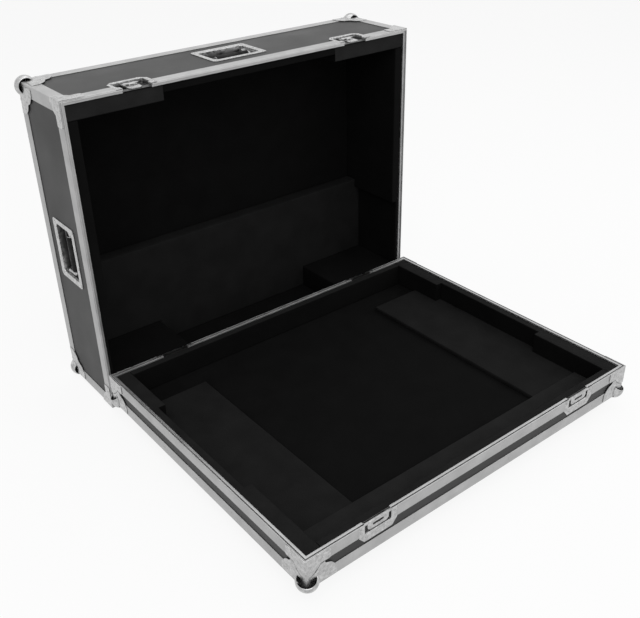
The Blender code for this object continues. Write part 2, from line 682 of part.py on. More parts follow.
def bail_curve():
    """A round rod bent to a loop: two ends on the hinge axis, two arms and the bar under the grip."""
    half = BAIL_SPAN / 2
    end = HANDLE_PAN_WIDTH / 2 + PAN_WALL + BAIL_END
    points = [(end, 0)]
    for step in range(CORNER_STEPS + 1):
        angle = (1.5 - step / CORNER_STEPS / 2) * math.pi
        points.append((half + BAIL_HEEL * (1 + math.cos(angle)), BAIL_HEEL * (1 + math.sin(angle))))
    for step in range(CORNER_STEPS + 1):
        angle = step / CORNER_STEPS / 2 * math.pi
        points.append((half - BAIL_BEND + BAIL_BEND * math.cos(angle),
                       BAIL_REACH - BAIL_BEND + BAIL_BEND * math.sin(angle)))
    points += [(-x, z) for x, z in reversed(points)]
    curve = bpy.data.curves.new("bail", "CURVE")
    curve.dimensions = "3D"
    curve.bevel_depth = BAIL_ROD
    curve.bevel_resolution = 2
    curve.use_fill_caps = True
    spline = curve.splines.new("POLY")
    spline.points.add(len(points) - 1)
    for point, (x, z) in zip(spline.points, points):
        point.co = (x, 0, z, 1)
    return curve


def grip_mesh():
    """A ribbed rubber sleeve with a bore for the rod."""
    half = GRIP_LENGTH / 2
    bore = BAIL_ROD + SEAT
    pitch = (GRIP_LENGTH - 2 * GRIP_END) / GRIP_RIBS
    profile = [(bore, -half), (GRIP_RADIUS - GRIP_EDGE, -half), (GRIP_RADIUS, -half + GRIP_EDGE)]
    for k in range(1, GRIP_RIBS):
        at = GRIP_END - half + k * pitch
        profile += [(GRIP_RADIUS, at - GRIP_RIB_HALF), (GRIP_RADIUS - GRIP_RIB, at),
                    (GRIP_RADIUS, at + GRIP_RIB_HALF)]
    profile += [(GRIP_RADIUS, half - GRIP_EDGE), (GRIP_RADIUS - GRIP_EDGE, half), (bore, half)]
    return sharpen(turned(profile, ROUND_SIDES, "x"))


def wall_frame(name, parent, side, along, rise):
    """An empty on one wall's outer face: x along the wall, y inward, z towards the rim."""
    place = {"low": ((along, 0, rise), 0.0), "high": ((along, CASE_DEPTH, rise), math.pi),
             "left": ((-CASE_WIDTH / 2, along, rise), -math.pi / 2),
             "right": ((CASE_WIDTH / 2, along, rise), math.pi / 2)}[side]
    return frame_empty(name, parent, place[0], (0, 0, place[1]))


def wall_cut(side, along, rise, width, low, high, depth):
    """A box cut through one wall in its half's frame, from sizes in the wall's own frame."""
    start = -SHEET
    x0, x1 = along - width / 2, along + width / 2
    spans = {
        "low": ((x0, start, rise + low), (x1, depth, rise + high)),
        "high": ((x0, CASE_DEPTH - depth, rise + low), (x1, CASE_DEPTH - start, rise + high)),
        "left": ((-CASE_WIDTH / 2 + start, x0, rise + low), (depth - CASE_WIDTH / 2, x1, rise + high)),
        "right": ((CASE_WIDTH / 2 - depth, x0, rise + low), (CASE_WIDTH / 2 - start, x1, rise + high)),
    }
    return box(*spans[side])


def latch_cuts(side, along, height, lid, depth, play):
    """The room that a latch pan or a strike takes out of a wall or its foam."""
    high = 2 * SHEET
    mouth = MOUTH_WIDTH + 2 * PAN_WALL + 2 * play
    if not lid:
        return [wall_cut(side, along, height, mouth, -STRIKE_PAN_END - PAN_WALL - play, high, depth)]
    wide = LATCH_PAN_WIDTH + 2 * PAN_WALL + 2 * play
    low, step = -LATCH_PAN_END - PAN_WALL - play, PAN_WALL - LATCH_PAN_TOP + play
    shallow = min(depth, PANEL_IN + SEAT)
    return [wall_cut(side, along, height, wide, low, step, depth),
            wall_cut(side, along, height, mouth, -LATCH_PAN_TOP - PAN_CORNER, high, shallow)]


def handle_cut(side, along, rise, depth, play):
    """The room that a handle dish and the ends of its rod take out of a wall or its foam."""
    width = HANDLE_PAN_WIDTH + 2 * (PAN_WALL + BAIL_END + play)
    half = HANDLE_PAN_LENGTH / 2 + PAN_WALL + play
    return wall_cut(side, along, rise, width, -half, half, depth)


def latch(name, parent, side, along, meshes, steel, key_finish):
    """One latch in the lid: pan, hook, hub and folding wing."""
    place = wall_frame(f"{name}_place", parent, side, along, LID_HEIGHT)
    link(f"{name}_pan", meshes["latch_pan"], steel, place)
    link(f"{name}_hook", meshes["hook"], steel, place, (0, 0, -HUB_DROP))
    hub = link(f"{name}_hub", meshes["hub"], key_finish, place, (0, 0, -HUB_DROP))
    link(f"{name}_wing", meshes["wing"], key_finish, hub, (0, WING_AXIS, 0))


def handle(name, parent, side, along, meshes, steel, rubber):
    """One sprung handle in the lid: dish, bail and grip. The hinge lies on the closed face's side."""
    place = wall_frame(f"{name}_place", parent, side, along, LID_HEIGHT / 2)
    link(f"{name}_dish", meshes["handle_pan"], steel, place)
    bail = link(f"{name}_bail", bail_curve(), steel, place, (0, BAIL_AXIS_DEPTH, BAIL_AXIS_Z))
    link(f"{name}_grip", meshes["grip"], rubber, bail, (0, 0, BAIL_REACH))


def base_lining():
    """Foam on the base's floor and walls, with blocks at its corners and a strip along the front."""
    edge = RIM_WIDTH + SEAT
    x_out = CASE_WIDTH / 2 - edge
    top = BASE_HEIGHT - FOAM_DROP
    floor = PANEL_IN + SEAT + BASE_SHEET
    body = box((-x_out, edge, PANEL_IN + SEAT), (x_out, CASE_DEPTH - edge, top))
    block_x = CASE_WIDTH / 2 - BASE_BLOCK_FOAM
    wall_x = CASE_WIDTH / 2 - BASE_WALL_FOAM
    back = CASE_DEPTH - BASE_WALL_FOAM
    upper = box((-block_x, BASE_WALL_FOAM, STRIP_TOP), (block_x, back, 2 * top))
    lower = box((-block_x, STRIP_EDGE, floor), (block_x, back, 2 * STRIP_TOP))
    sides = box((-wall_x, BASE_BLOCK_FRONT, floor), (wall_x, BASE_BLOCK_REAR, 2 * top))
    return without(body, upper, lower, sides)


def base_pad(sign):
    """A foam pad on the base's floor beside one side wall, notched round that wall's end blocks."""
    near = CASE_WIDTH / 2 - PAD_INNER
    wall = CASE_WIDTH / 2 - BASE_WALL_FOAM - SEAT
    block = CASE_WIDTH / 2 - BASE_BLOCK_FOAM - SEAT
    front, rear = STRIP_EDGE + SEAT, PAD_REAR
    first, last = BASE_BLOCK_FRONT + SEAT, BASE_BLOCK_REAR - SEAT
    outline = [(near, front), (block, front), (block, first), (wall, first), (wall, last), (block, last),
               (block, rear), (near, rear)]
    low = PANEL_IN + SEAT + BASE_SHEET + SEAT
    return prism([(sign * x, y) for x, y in outline], low, low + PAD_THICK, axis="z")


def lid_lining():
    """Foam in the lid: a sheet on the closed panel, thick sides by the handles, blocks by the latches."""
    edge = RIM_WIDTH + SEAT
    x_out = CASE_WIDTH / 2 - edge
    top = LID_HEIGHT - FOAM_DROP
    floor = PANEL_IN + SEAT + LID_SHEET
    body = box((-x_out, edge, PANEL_IN + SEAT), (x_out, CASE_DEPTH - edge, top))
    side_x = CASE_WIDTH / 2 - LID_SIDE_FOAM
    thin_x = CASE_WIDTH / 2 - LID_THIN_FOAM
    block_x = CASE_WIDTH / 2 - LID_BLOCK_LENGTH
    main = box((-side_x, LID_REAR_BLOCK, floor), (side_x, CASE_DEPTH - LID_TOP_BLOCK, 2 * top))
    sides = box((-thin_x, LID_REAR_BLOCK, floor), (thin_x, LID_SIDE_START, 2 * top))
    middle = box((-block_x, LID_THIN_FOAM, floor), (block_x, CASE_DEPTH - LID_TOP_FOAM, 2 * top))
    cuts = []
    depth = LATCH_PAN_DEPTH + PAN_WALL + FOAM_POCKET
    for x in LATCH_PLACES:
        for side in ("low", "high"):
            cuts += latch_cuts(side, x, LID_HEIGHT, True, depth, FOAM_POCKET)[:1]
    depth = HANDLE_PAN_DEPTH + PAN_WALL + FOAM_POCKET
    for side, along in HANDLES.values():
        cuts.append(handle_cut(side, along, LID_HEIGHT / 2, depth, FOAM_POCKET))
    return without(body, main, sides, middle, *cuts)


def lid_pad():
    """The thick pad on the lid's closed panel, from the rear wall up, notched round the rear blocks."""
    wide = CASE_WIDTH / 2 - LID_SIDE_FOAM - SEAT
    low_x = CASE_WIDTH / 2 - LID_BLOCK_LENGTH - SEAT
    thin = CASE_WIDTH / 2 - LID_THIN_FOAM - SEAT
    foot, block = LID_THIN_FOAM + SEAT, LID_REAR_BLOCK + SEAT
    step = LID_SIDE_START - SEAT
    right = [(low_x, foot), (low_x, block), (thin, block), (thin, step), (wide, step),
             (wide, LID_PAD_HEIGHT)]
    outline = right + [(-x, y) for x, y in reversed(right)]
    low = PANEL_IN + SEAT + LID_SHEET + SEAT
    return prism(outline, low, low + LID_PAD_THICK, axis="z")


def wall_cuts():
    """The cut-outs for latches, strikes and handles, by the name of the wall they go through."""
    through = PANEL_IN + SEAT
    play = 2 * SEAT
    cuts = {}
    for half, height in (("base", BASE_HEIGHT), ("lid", LID_HEIGHT)):
        low_name, high_name = ("rear", "front") if half == "lid" else ("front", "rear")
        for side, name in (("low", low_name), ("high", high_name)):
            cuts[f"{half}_{name}_wall"] = [
                cut for x in LATCH_PLACES
                for cut in latch_cuts(side, x, height, half == "lid", through, play)]
    for side, along in HANDLES.values():
        wall = "lid_front_wall" if side == "high" else f"lid_{side}_wall"
        cuts.setdefault(wall, []).append(handle_cut(side, along, LID_HEIGHT / 2, through, play))
    return cuts


def build():
    """Model the whole case."""
    for item in list(bpy.data.objects):
        bpy.data.objects.remove(item)

    laminate = material("black laminate", (0.030, 0.030, 0.031), 0.42, 0.0)
    aluminium = material("aluminium", (0.60, 0.60, 0.60), 0.36, 1.0)
    zinc = material("zinc plated steel", (0.55, 0.56, 0.57), 0.30, 1.0)
    key_finish = material("bright steel", (0.62, 0.62, 0.63), 0.24, 1.0)
    dark_foam = material("black foam", (0.008, 0.008, 0.008), 0.95, 0.0)
    pad_foam = material("grey black foam", (0.016, 0.016, 0.016), 0.95, 0.0)
    rubber = material("black rubber", (0.014, 0.014, 0.014), 0.70, 0.0)

    base = frame_empty("base_place", None, (0, FRONT_Y, FOOT_HEIGHT), (0, 0, 0))
    lid = frame_empty("lid_place", None, (0, LID_BACK_Y, BALL_PROUD), (math.pi / 2, 0, 0))
    cuts = wall_cuts()
    base_top = BASE_HEIGHT - GROOVE_DEPTH - RIM_WEB - SEAT
    lid_top = LID_HEIGHT - RIM_WEB - SEAT
    balls = {"base": ball_corner_mesh(BASE_HEIGHT), "lid": ball_corner_mesh()}
    halves = (("base", base, BASE_HEIGHT, base_top), ("lid", lid, LID_HEIGHT, lid_top))
    for half, parent, height, top in halves:
        box_panels(half, top, laminate, parent, cuts)
        edge_frame(f"{half}_edge_frame", height - RIM_LEG - SEAT, aluminium, parent)
        rim(half, height, aluminium, parent)
        corners(half, balls[half], zinc, parent)

    foot = foot_mesh()
    for y_name, y in (("front", FOOT_INSET), ("rear", CASE_DEPTH - FOOT_INSET)):
        for x_name, sign in (("left", -1), ("right", 1)):
            link(f"foot_{y_name}_{x_name}", foot, rubber, base, (sign * (CASE_WIDTH / 2 - FOOT_INSET), y, 0))

    link("base_lining", base_lining(), dark_foam, base)
    link("base_left_pad", base_pad(-1), pad_foam, base)
    link("base_right_pad", base_pad(1), pad_foam, base)
    link("lid_lining", lid_lining(), dark_foam, lid)
    link("lid_pad", lid_pad(), pad_foam, lid)

    meshes = {"latch_pan": latch_pan(), "strike": strike_pan(), "hub": hub_mesh(), "wing": wing_mesh(),
              "hook": hook_mesh(), "handle_pan": handle_pan(), "grip": grip_mesh()}
    for name, x in zip(("left", "right"), LATCH_PLACES):
        for strike, side in (("front", "low"), ("rear", "high")):
            place = wall_frame(f"strike_{strike}_{name}_place", base, side, x, BASE_HEIGHT)
            link(f"strike_{strike}_{name}", meshes["strike"], zinc, place)
        latch(f"latch_front_{name}", lid, "high", x, meshes, zinc, key_finish)
        latch(f"latch_rear_{name}", lid, "low", x, meshes, zinc, key_finish)
    for name, (side, along) in HANDLES.items():
        handle(name, lid, side, along, meshes, zinc, rubber)


build()
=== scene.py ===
"""The looks of an open mixer flight case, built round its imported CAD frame."""

from __future__ import annotations

import logging
import math
from collections.abc import Callable, Sequence
from dataclasses import dataclass, field
from enum import Enum
from typing import Any

import bmesh
import bpy
import numpy as np
from mathutils import Euler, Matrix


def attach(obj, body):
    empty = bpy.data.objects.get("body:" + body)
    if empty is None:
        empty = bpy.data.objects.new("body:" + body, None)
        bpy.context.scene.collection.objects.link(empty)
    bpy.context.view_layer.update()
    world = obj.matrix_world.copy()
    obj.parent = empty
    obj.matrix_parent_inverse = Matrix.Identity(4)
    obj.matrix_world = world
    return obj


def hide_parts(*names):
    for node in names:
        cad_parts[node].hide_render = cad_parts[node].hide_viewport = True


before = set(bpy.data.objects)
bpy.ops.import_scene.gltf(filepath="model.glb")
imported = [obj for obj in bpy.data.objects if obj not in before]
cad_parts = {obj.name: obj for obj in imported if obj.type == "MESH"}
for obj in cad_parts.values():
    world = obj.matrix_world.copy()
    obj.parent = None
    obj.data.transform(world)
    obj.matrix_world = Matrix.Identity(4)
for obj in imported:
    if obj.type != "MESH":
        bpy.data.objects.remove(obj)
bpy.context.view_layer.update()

LOG = logging.getLogger("flight_case")
Array = np.ndarray
Mark = tuple[str, Callable[[np.ndarray], np.ndarray]]
Pair = tuple[float, float]
Vector3 = tuple[float, float, float]
Box = tuple[float, float, float, float]
Rows = tuple[tuple[float, ...], ...]
MM = 0.001
QUARTER = math.pi / 2
FULL_TURN = 2 * math.pi
MERGE = 1e-6
ON_PLANE = 1e-7
SHARP_ANGLE = 35.0
BEVEL_ANGLE = 40.0
SWAP_XY = np.eye(4)[[1, 0, 2, 3]]
SWAP_YZ = np.eye(4)[[0, 2, 1, 3]]


# Places and small geometry


def mm(*rows: Any) -> Array:
    """Rows of millimetres as an array of metres."""
    return np.array(rows, float) * MM


def shifted(x: float, y: float, z: float) -> Array:
    """A 4x4 matrix that only moves.

    Args:
        x: The move along x.
        y: The move along y.
        z: The move along z.

    Returns:
        The matrix.
    """
    matrix = np.eye(4)
    matrix[:3, 3] = (x, y, z)
    return matrix


def turned(axis: str, angle: float) -> Array:
    """A 4x4 matrix that turns about one axis.

    Args:
        axis: "x", "y" or "z".
        angle: The turn in radians.

    Returns:
        The matrix: cosine and sine of the angle in the plane of the two other axes.
    """
    first, second = {"x": (1, 2), "y": (2, 0), "z": (0, 1)}[axis]
    matrix = np.eye(4)
    matrix[first, first] = matrix[second, second] = math.cos(angle)
    matrix[second, first] = math.sin(angle)
    matrix[first, second] = -math.sin(angle)
    return matrix


def placed(points: Array, matrix: Array) -> Array:
    """Points of any array shape put through a 4x4 matrix."""
    return points @ matrix[:3, :3].T + matrix[:3, 3]


def lifted(plan: Array, height: Array) -> Array:
    """Plan points, as (..., 2), with a height that broadcasts over them as the third number."""
    return np.concatenate([plan, np.broadcast_to(height, plan.shape[:-1])[..., None]], axis=-1)


def arc(radius: float, start: float, stop: float, steps: int) -> Array:
    """Points (radius * cos t, radius * sin t) for t from start to stop, as (steps + 1, 2)."""
    angle = np.linspace(start, stop, steps + 1)
    return radius * np.stack([np.cos(angle), np.sin(angle)], axis=1)


def round_from(share: Array) -> Array:
    """How far a quarter circle has fallen, 0 to 1, at a share of its radius."""
    return 1 - np.sqrt(1 - share ** 2)


def rectangle(left: float, low: float, right: float, high: float) -> Array:
    """The corners of a rectangle, as (4, 2)."""
    return np.array([(left, low), (right, low), (right, high), (left, high)])


def filleted(corners: Array, radii: Any, steps: int = 4) -> Array:
    """A closed polygon with its corners rounded.

    Each corner is left at the distance r / tan(half its angle) on both sides, and the arc between
    is the centre plus a spherical blend of the two radii.

    Args:
        corners: The polygon's corners, as (n, 2).
        radii: One radius for each corner, or one for all.
        steps: Faces in each arc.

    Returns:
        The rounded outline, as (n * (steps + 1), 2).
    """
    radii = np.maximum(np.broadcast_to(np.asarray(radii, float), len(corners)), MERGE)
    back, ahead = (np.roll(corners, step, axis=0) - corners for step in (1, -1))
    back /= np.linalg.norm(back, axis=1, keepdims=True)
    ahead /= np.linalg.norm(ahead, axis=1, keepdims=True)
    half = np.arccos(np.clip((back * ahead).sum(1), -1, 1)) / 2
    bisector = back + ahead
    bisector /= np.linalg.norm(bisector, axis=1, keepdims=True)
    centre = corners + bisector * (radii / np.sin(half))[:, None]
    reach = (radii / np.tan(half))[:, None]
    first, last = corners + back * reach - centre, corners + ahead * reach - centre
    sweep = (math.pi - 2 * half)[:, None, None]
    share = np.linspace(0, 1, steps + 1)[None, :, None]
    blend = np.sin((1 - share) * sweep) * first[:, None] + np.sin(share * sweep) * last[:, None]
    return (centre[:, None] + blend / np.sin(sweep)).reshape(-1, 2)


def lengths(points: Array, axis: int) -> Array:
    """Mean length run so far along one parameter of a grid, spread over the grid.

    Args:
        points: The grid, as (m, n, 3).
        axis: The parameter, 0 or 1.

    Returns:
        The lengths, as (m, n).
    """
    step = np.linalg.norm(np.diff(points, axis=axis), axis=2)
    total = np.concatenate([[0.0], np.cumsum(step.mean(axis=1 - axis))])
    return np.broadcast_to(np.expand_dims(total, 1 - axis), points.shape[:2])


def cells(grid: Array) -> Array:
    """The four corners of each cell of a grid, in turn, as (cells, 4, ...)."""
    corners = [grid[:-1, :-1], grid[1:, :-1], grid[1:, 1:], grid[:-1, 1:]]
    return np.stack(corners, axis=2).reshape(-1, 4, *grid.shape[2:])


def read(items: Any, name: str, kind: type = np.float32, width: int = 1) -> Array:
    """One attribute of every item of a Blender collection, as (n, width).

    Args:
        items: The collection.
        name: The attribute's name.
        kind: The type of its numbers.
        width: How many numbers each item has.

    Returns:
        The numbers.
    """
    values = np.empty(len(items) * width, kind)
    items.foreach_get(name, values)
    return values.reshape(-1, width)


def ramp_mark(name: str, place: Array, start: float, full: float) -> Mark:
    """A mark that grows along a frame's y axis: 0 up to start, and 1 from full on."""
    back = np.linalg.inv(place)
    return name, lambda points: np.clip((placed(points, back)[:, 1] - start) / (full - start), 0, 1)


class Shape:
    """Surfaces gathered as numpy arrays and made one piece at the end."""

    rivet_sides = 10
    rivet_head = ((1.0, -0.25), (1.0, 0.25), (0.86, 0.62), (0.6, 0.9), (0.34, 1.0), (0.26, 0.55),
                  (0.0, 0.5))

    def __init__(self) -> None:
        """Start with no surface."""
        self.points: list[Array] = []
        self.faces: list[Array] = []
        self.runs: list[Array] = []
        self.count = 0

    def _keep(self, faces: Array, base: int, runs: Array | None = None) -> None:
        """Keep faces, as indices from a base point, and their corners' UV, or zeros for None."""
        self.faces.append(faces + base)
        self.runs.append(np.zeros((*faces.shape, 2)) if runs is None else runs)

    def add(self, points: Array, faces: Array, runs: Array | None = None) -> int:
        """Add points and faces that have one number of corners.

        Args:
            points: The points, as (n, 3) or on a grid.
            faces: Indices into points, as (m, corners).
            runs: The UV of each face corner in metres, as (m, corners, 2), or None for zeros.

        Returns:
            The index of the first point.
        """
        base = self.count
        self.points.append(points.reshape(-1, 3))
        self.count += len(self.points[-1])
        self._keep(faces, base, runs)
        return base

    def grid(self, points: Array, wrap: tuple[bool, bool] = (False, False),
             caps: bool = False) -> int:
        """Add a surface over two parameters: point (i, j) joins (i + 1, j) and (i, j + 1).

        Args:
            points: The points, as (m, n, 3).
            wrap: Whether the surface closes on itself along each parameter.
            caps: Whether flat faces close the first and last rows, which then wrap.

        Returns:
            The index of the first point.
        """
        index, wide = np.arange(points[..., 0].size).reshape(points.shape[:2]), points
        for axis in (0, 1):
            if wrap[axis]:
                index = np.concatenate([index, index.take([0], axis)], axis)
                wide = np.concatenate([wide, wide.take([0], axis)], axis)
        run = np.stack([lengths(wide, 0), lengths(wide, 1)], axis=2)
        base = self.add(points, cells(index), cells(run))
        if caps:
            for ring in (index[0][::-1], index[-1]):
                self._keep(ring[None, 1:], base)
        return base

    def shell(self, outer: Array, inner: Array) -> None:
        """Add a closed wall between two grids of one shape: both faces and the four edges.

        Args:
            outer: One face, as (m, n, 3).
            inner: The other face.
        """
        base = self.grid(np.concatenate([outer, inner[:, ::-1]], axis=1), wrap=(False, True))
        rows, columns = outer.shape[:2]
        index = np.arange(rows * columns * 2).reshape(rows, columns * 2)
        for row, step in ((index[0], 1), (index[-1], -1)):
            top, low = row[:columns], row[columns:][::-1]
            strip = np.stack([top[:-1], top[1:], low[1:], low[:-1]], axis=1)
            self._keep(strip[:, ::step], base)

    def sheet(self, outer: Array, thickness: float, away: Array) -> None:
        """Add a pressed sheet: its shown face, and a back face set off along the grid's normals.

        The normal is the cross product of the grid's two slopes.

        Args:
            outer: The shown face, as (m, n, 3).
            thickness: The sheet's thickness.
            away: A direction that the shown face looks in, on the whole.
        """
        normal = np.cross(np.gradient(outer, axis=0), np.gradient(outer, axis=1))
        normal /= np.maximum(np.linalg.norm(normal, axis=2, keepdims=True), MERGE ** 2)
        if normal.sum((0, 1)) @ away < 0:
            normal = -normal
        self.shell(outer, outer - normal * thickness)

    def turned_profile(self, profile: Array, sides: int, matrix: Array,
                       closed: bool = False) -> None:
        """Add a profile of (radius, height) spun about z: (r cos t, r sin t, height)."""
        plan = profile[:, :1, None] * arc(1.0, 0, FULL_TURN, sides)[:-1]
        self.grid(placed(lifted(plan, profile[:, 1:]), matrix), wrap=(closed, True))

    def prism(self, outline: Array, start: float, end: float, matrix: Array) -> None:
        """Add an outline of (x, z) points run straight along y, closed at both ends."""
        points = lifted(np.stack([outline] * 2), np.array([[start], [end]]))
        self.grid(placed(points, matrix @ SWAP_YZ), wrap=(False, True), caps=True)

    def carried(self, profile: Array, path: Array, inward: Array, matrix: Array,
                closed: bool = False) -> None:
        """Add a closed profile of (inset, rise) carried along a flat path.

        A point is path + inset * inward, and rise above it, so a doubled inward direction at a
        corner mitres it.

        Args:
            profile: The closed profile, as (k, 2).
            path: The path's points, as (m, 2).
            inward: The inset's direction at each path point, as (m, 2).
            matrix: Where the path's plane goes.
            closed: Whether the path joins up.
        """
        plan = path[:, None] + profile[None, :, :1] * inward[:, None]
        points = placed(lifted(plan, profile[:, 1]), matrix)
        self.grid(points, wrap=(closed, True), caps=not closed)

    def rivets(self, spots: Array, matrix: Array, radius: float = 3.2 * MM,
               rise: float = 1.1 * MM, out: float = 1.8 * MM) -> None:
        """Add domed rivet heads, each with a small hollow in its middle.

        A head is the class's profile of (share of radius, share of rise) spun about the wall's
        normal at its spot.

        Args:
            spots: Places on a wall's face, as (n, 2) of (x, z).
            matrix: The wall's frame, whose y axis points inward.
            radius: The head's radius.
            rise: The dome's height.
            out: How far the plate's face stands off the wall.
        """
        head = np.array(self.rivet_head) * (radius, rise) + (0, out)
        for x, z in spots:
            normal = matrix @ shifted(x, 0, z) @ turned("x", QUARTER)
            self.turned_profile(head, self.rivet_sides, normal)

    def welded(self, mesh: bpy.types.Mesh) -> bmesh.types.BMesh:
        """Fill a mesh with the surfaces and UV, and open it with its doubled points merged.

        Args:
            mesh: An empty mesh.

        Returns:
            The open mesh, which the caller writes back and frees.
        """
        faces = [face for block in self.faces for face in block.tolist()]
        mesh.from_pydata(np.concatenate(self.points).tolist(), [], faces)
        runs = np.concatenate([run.reshape(-1) for run in self.runs]).astype(np.float32)
        mesh.uv_layers.new(name="run").data.foreach_set("uv", runs)
        work = bmesh.new()
        work.from_mesh(mesh)
        bmesh.ops.remove_doubles(work, verts=work.verts, dist=MERGE)
        return work

    def piece(self, name: str, finish: Finish, body: str, stands_for: Sequence[str] = (),
              soft_edge: float = 0.0, angle: float = SHARP_ANGLE,
              mark: Mark | None = None) -> bpy.types.Object:
        """Make the mesh, close its poles and seams, face it outward and put it on its body.

        Args:
            name: The piece's name.
            finish: Its finish.
            body: The CAD body that it rides on.
            stands_for: The CAD nodes that it replaces.
            soft_edge: The width of a bevel on its sharp edges, or 0 for none.
            angle: The angle in degrees from which an edge stays sharp.
            mark: The name of a number kept at each point, and how it follows from place.

        Returns:
            The finished object.
        """
        mesh = bpy.data.meshes.new(name)
        work = self.welded(mesh)
        bmesh.ops.recalc_face_normals(work, faces=work.faces)
        work.to_mesh(mesh)
        work.free()
        mesh.shade_smooth()
        mesh.set_sharp_from_angle(angle=math.radians(angle))
        if mark:
            places = read(mesh.vertices, "co", width=3).astype(float)
            values = mark[1](places).astype(np.float32)
            mesh.attributes.new(mark[0], "FLOAT", "POINT").data.foreach_set("value", values)
        item = bpy.data.objects.new(name, mesh)
        bpy.context.scene.collection.objects.link(item)
        mesh.materials.append(finish.material())
        if soft_edge:
            bevel = item.modifiers.new("soft edge", "BEVEL")
            bevel.width, bevel.segments = soft_edge, 2
            bevel.limit_method, bevel.angle_limit = "ANGLE", math.radians(BEVEL_ANGLE)
        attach(item, body)
        if stands_for:
            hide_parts(*stands_for)
        LOG.info("%s: %d faces on %s", name, len(mesh.polygons), body)
        return item


# Shader maths and finishes


def operator(operation: str, flipped: bool = False) -> Callable[[Value, Any], Value]:
    """A Python operator that adds a Math node, with its two sides swapped where flipped.

    Args:
        operation: The Math node's operation.
        flipped: Whether the other side comes first.

    Returns:
        The operator's method.
    """

    def apply(value: Value, other: Any) -> Value:
        """Add the node."""
        return value.net.math(operation, *((other, value) if flipped else (value, other)))

    return apply


@dataclass
class Value:
    """A number or socket in a shader expression. Its operators add Math nodes."""

    net: Net
    source: Any

    __add__ = __radd__ = operator("ADD")
    __mul__ = __rmul__ = operator("MULTIPLY")
    __sub__ = operator("SUBTRACT")
    __rsub__ = operator("SUBTRACT", flipped=True)
    __truediv__ = operator("DIVIDE")
    __rtruediv__ = operator("DIVIDE", flipped=True)

    def over(self, low: float, high: float) -> Value:
        """How far the value is from low to high, kept between 0 and 1."""
        return self.net.math("ADD", (self - low) / (high - low), 0.0, clamp=True)


class Net:
    """A material's or world's node tree, and one way to add a node to it."""

    def __init__(self, tree: bpy.types.NodeTree) -> None:
        """Start from an empty tree."""
        self.tree = tree
        tree.nodes.clear()

    def node(self, kind: str, settings: dict[str, Any] | None = None,
             sockets: dict[Any, Any] | None = None) -> bpy.types.Node:
        """Add a node, set its settings first, and then its sockets' values or links.

        Args:
            kind: The node's type.
            settings: Attributes of the node, such as a Math node's operation.
            sockets: Numbers, colours, sockets or Values, by the socket's name or index.

        Returns:
            The node.
        """
        made = self.tree.nodes.new(kind)
        for key, setting in (settings or {}).items():
            setattr(made, key, setting)
        for key, given in (sockets or {}).items():
            given = given.source if isinstance(given, Value) else given
            if isinstance(given, bpy.types.NodeSocket):
                self.tree.links.new(given, made.inputs[key])
            else:
                made.inputs[key].default_value = given
        return made

    def value(self, kind: str, output: str, settings: dict[str, Any] | None = None,
              sockets: dict[Any, Any] | None = None) -> Value:
        """Add a node and give one of its outputs as a Value."""
        return Value(self, self.node(kind, settings, sockets).outputs[output])

    def math(self, operation: str, first: Any, second: Any, clamp: bool = False) -> Value:
        """Add a Math node."""
        settings = {"operation": operation, "use_clamp": clamp}
        return self.value("ShaderNodeMath", "Value", settings, {0: first, 1: second})

    def mix(self, share: Any, first: Any, second: Any) -> Any:
        """A colour from first to second, which are the Mix node's colour sockets 6 and 7."""
        sockets = {"Factor": share, 6: first, 7: second}
        return self.node("ShaderNodeMix", {"data_type": "RGBA"}, sockets).outputs[2]

    def place(self, stretch: Vector3 = (1, 1, 1), on_run: bool = False) -> Any:
        """Object coordinates, or the piece's UV map of lengths, stretched by three numbers.

        Args:
            stretch: A factor for each axis.
            on_run: Whether to take the UV map.

        Returns:
            The socket.
        """
        source = (self.node("ShaderNodeUVMap", {"uv_map": "run"}).outputs["UV"] if on_run
                  else self.node("ShaderNodeTexCoord").outputs["Object"])
        sockets = {"Vector": source, "Scale": stretch}
        return self.node("ShaderNodeMapping", None, sockets).outputs["Vector"]

    def noise(self, place: Any, scale: float, detail: float = 2.0) -> Value:
        """Noise from 0 to 1."""
        sockets = {"Vector": place, "Scale": scale, "Detail": detail}
        return self.value("ShaderNodeTexNoise", "Fac", None, sockets)

    def cells(self, place: Any, scale: float) -> Value:
        """Distance to the nearest of many scattered points."""
        sockets = {"Vector": place, "Scale": scale}
        return self.value("ShaderNodeTexVoronoi", "Distance", None, sockets)

    def mark(self, name: str) -> Value:
        """A number that the piece keeps at its points, or 0 where it keeps none."""
        return self.value("ShaderNodeAttribute", "Fac", {"attribute_name": name})

    def bump(self, height: Value, distance: float, strength: float) -> Any:
        """A surface direction from heights."""
        sockets = {"Height": height, "Distance": distance, "Strength": strength}
        return self.node("ShaderNodeBump", None, sockets).outputs["Normal"]

    def surface(self, **sockets: Any) -> None:
        """The Principled shader and the output, with the shader's sockets by name."""
        named = {key.replace("_", " "): given for key, given in sockets.items()}
        shader = self.node("ShaderNodeBsdfPrincipled", None, named)
        self.node("ShaderNodeOutputMaterial", None, {"Surface": shader.outputs[0]})


def grey(level: float) -> Box:
    """A neutral colour."""
    return (level, level, level, 1.0)


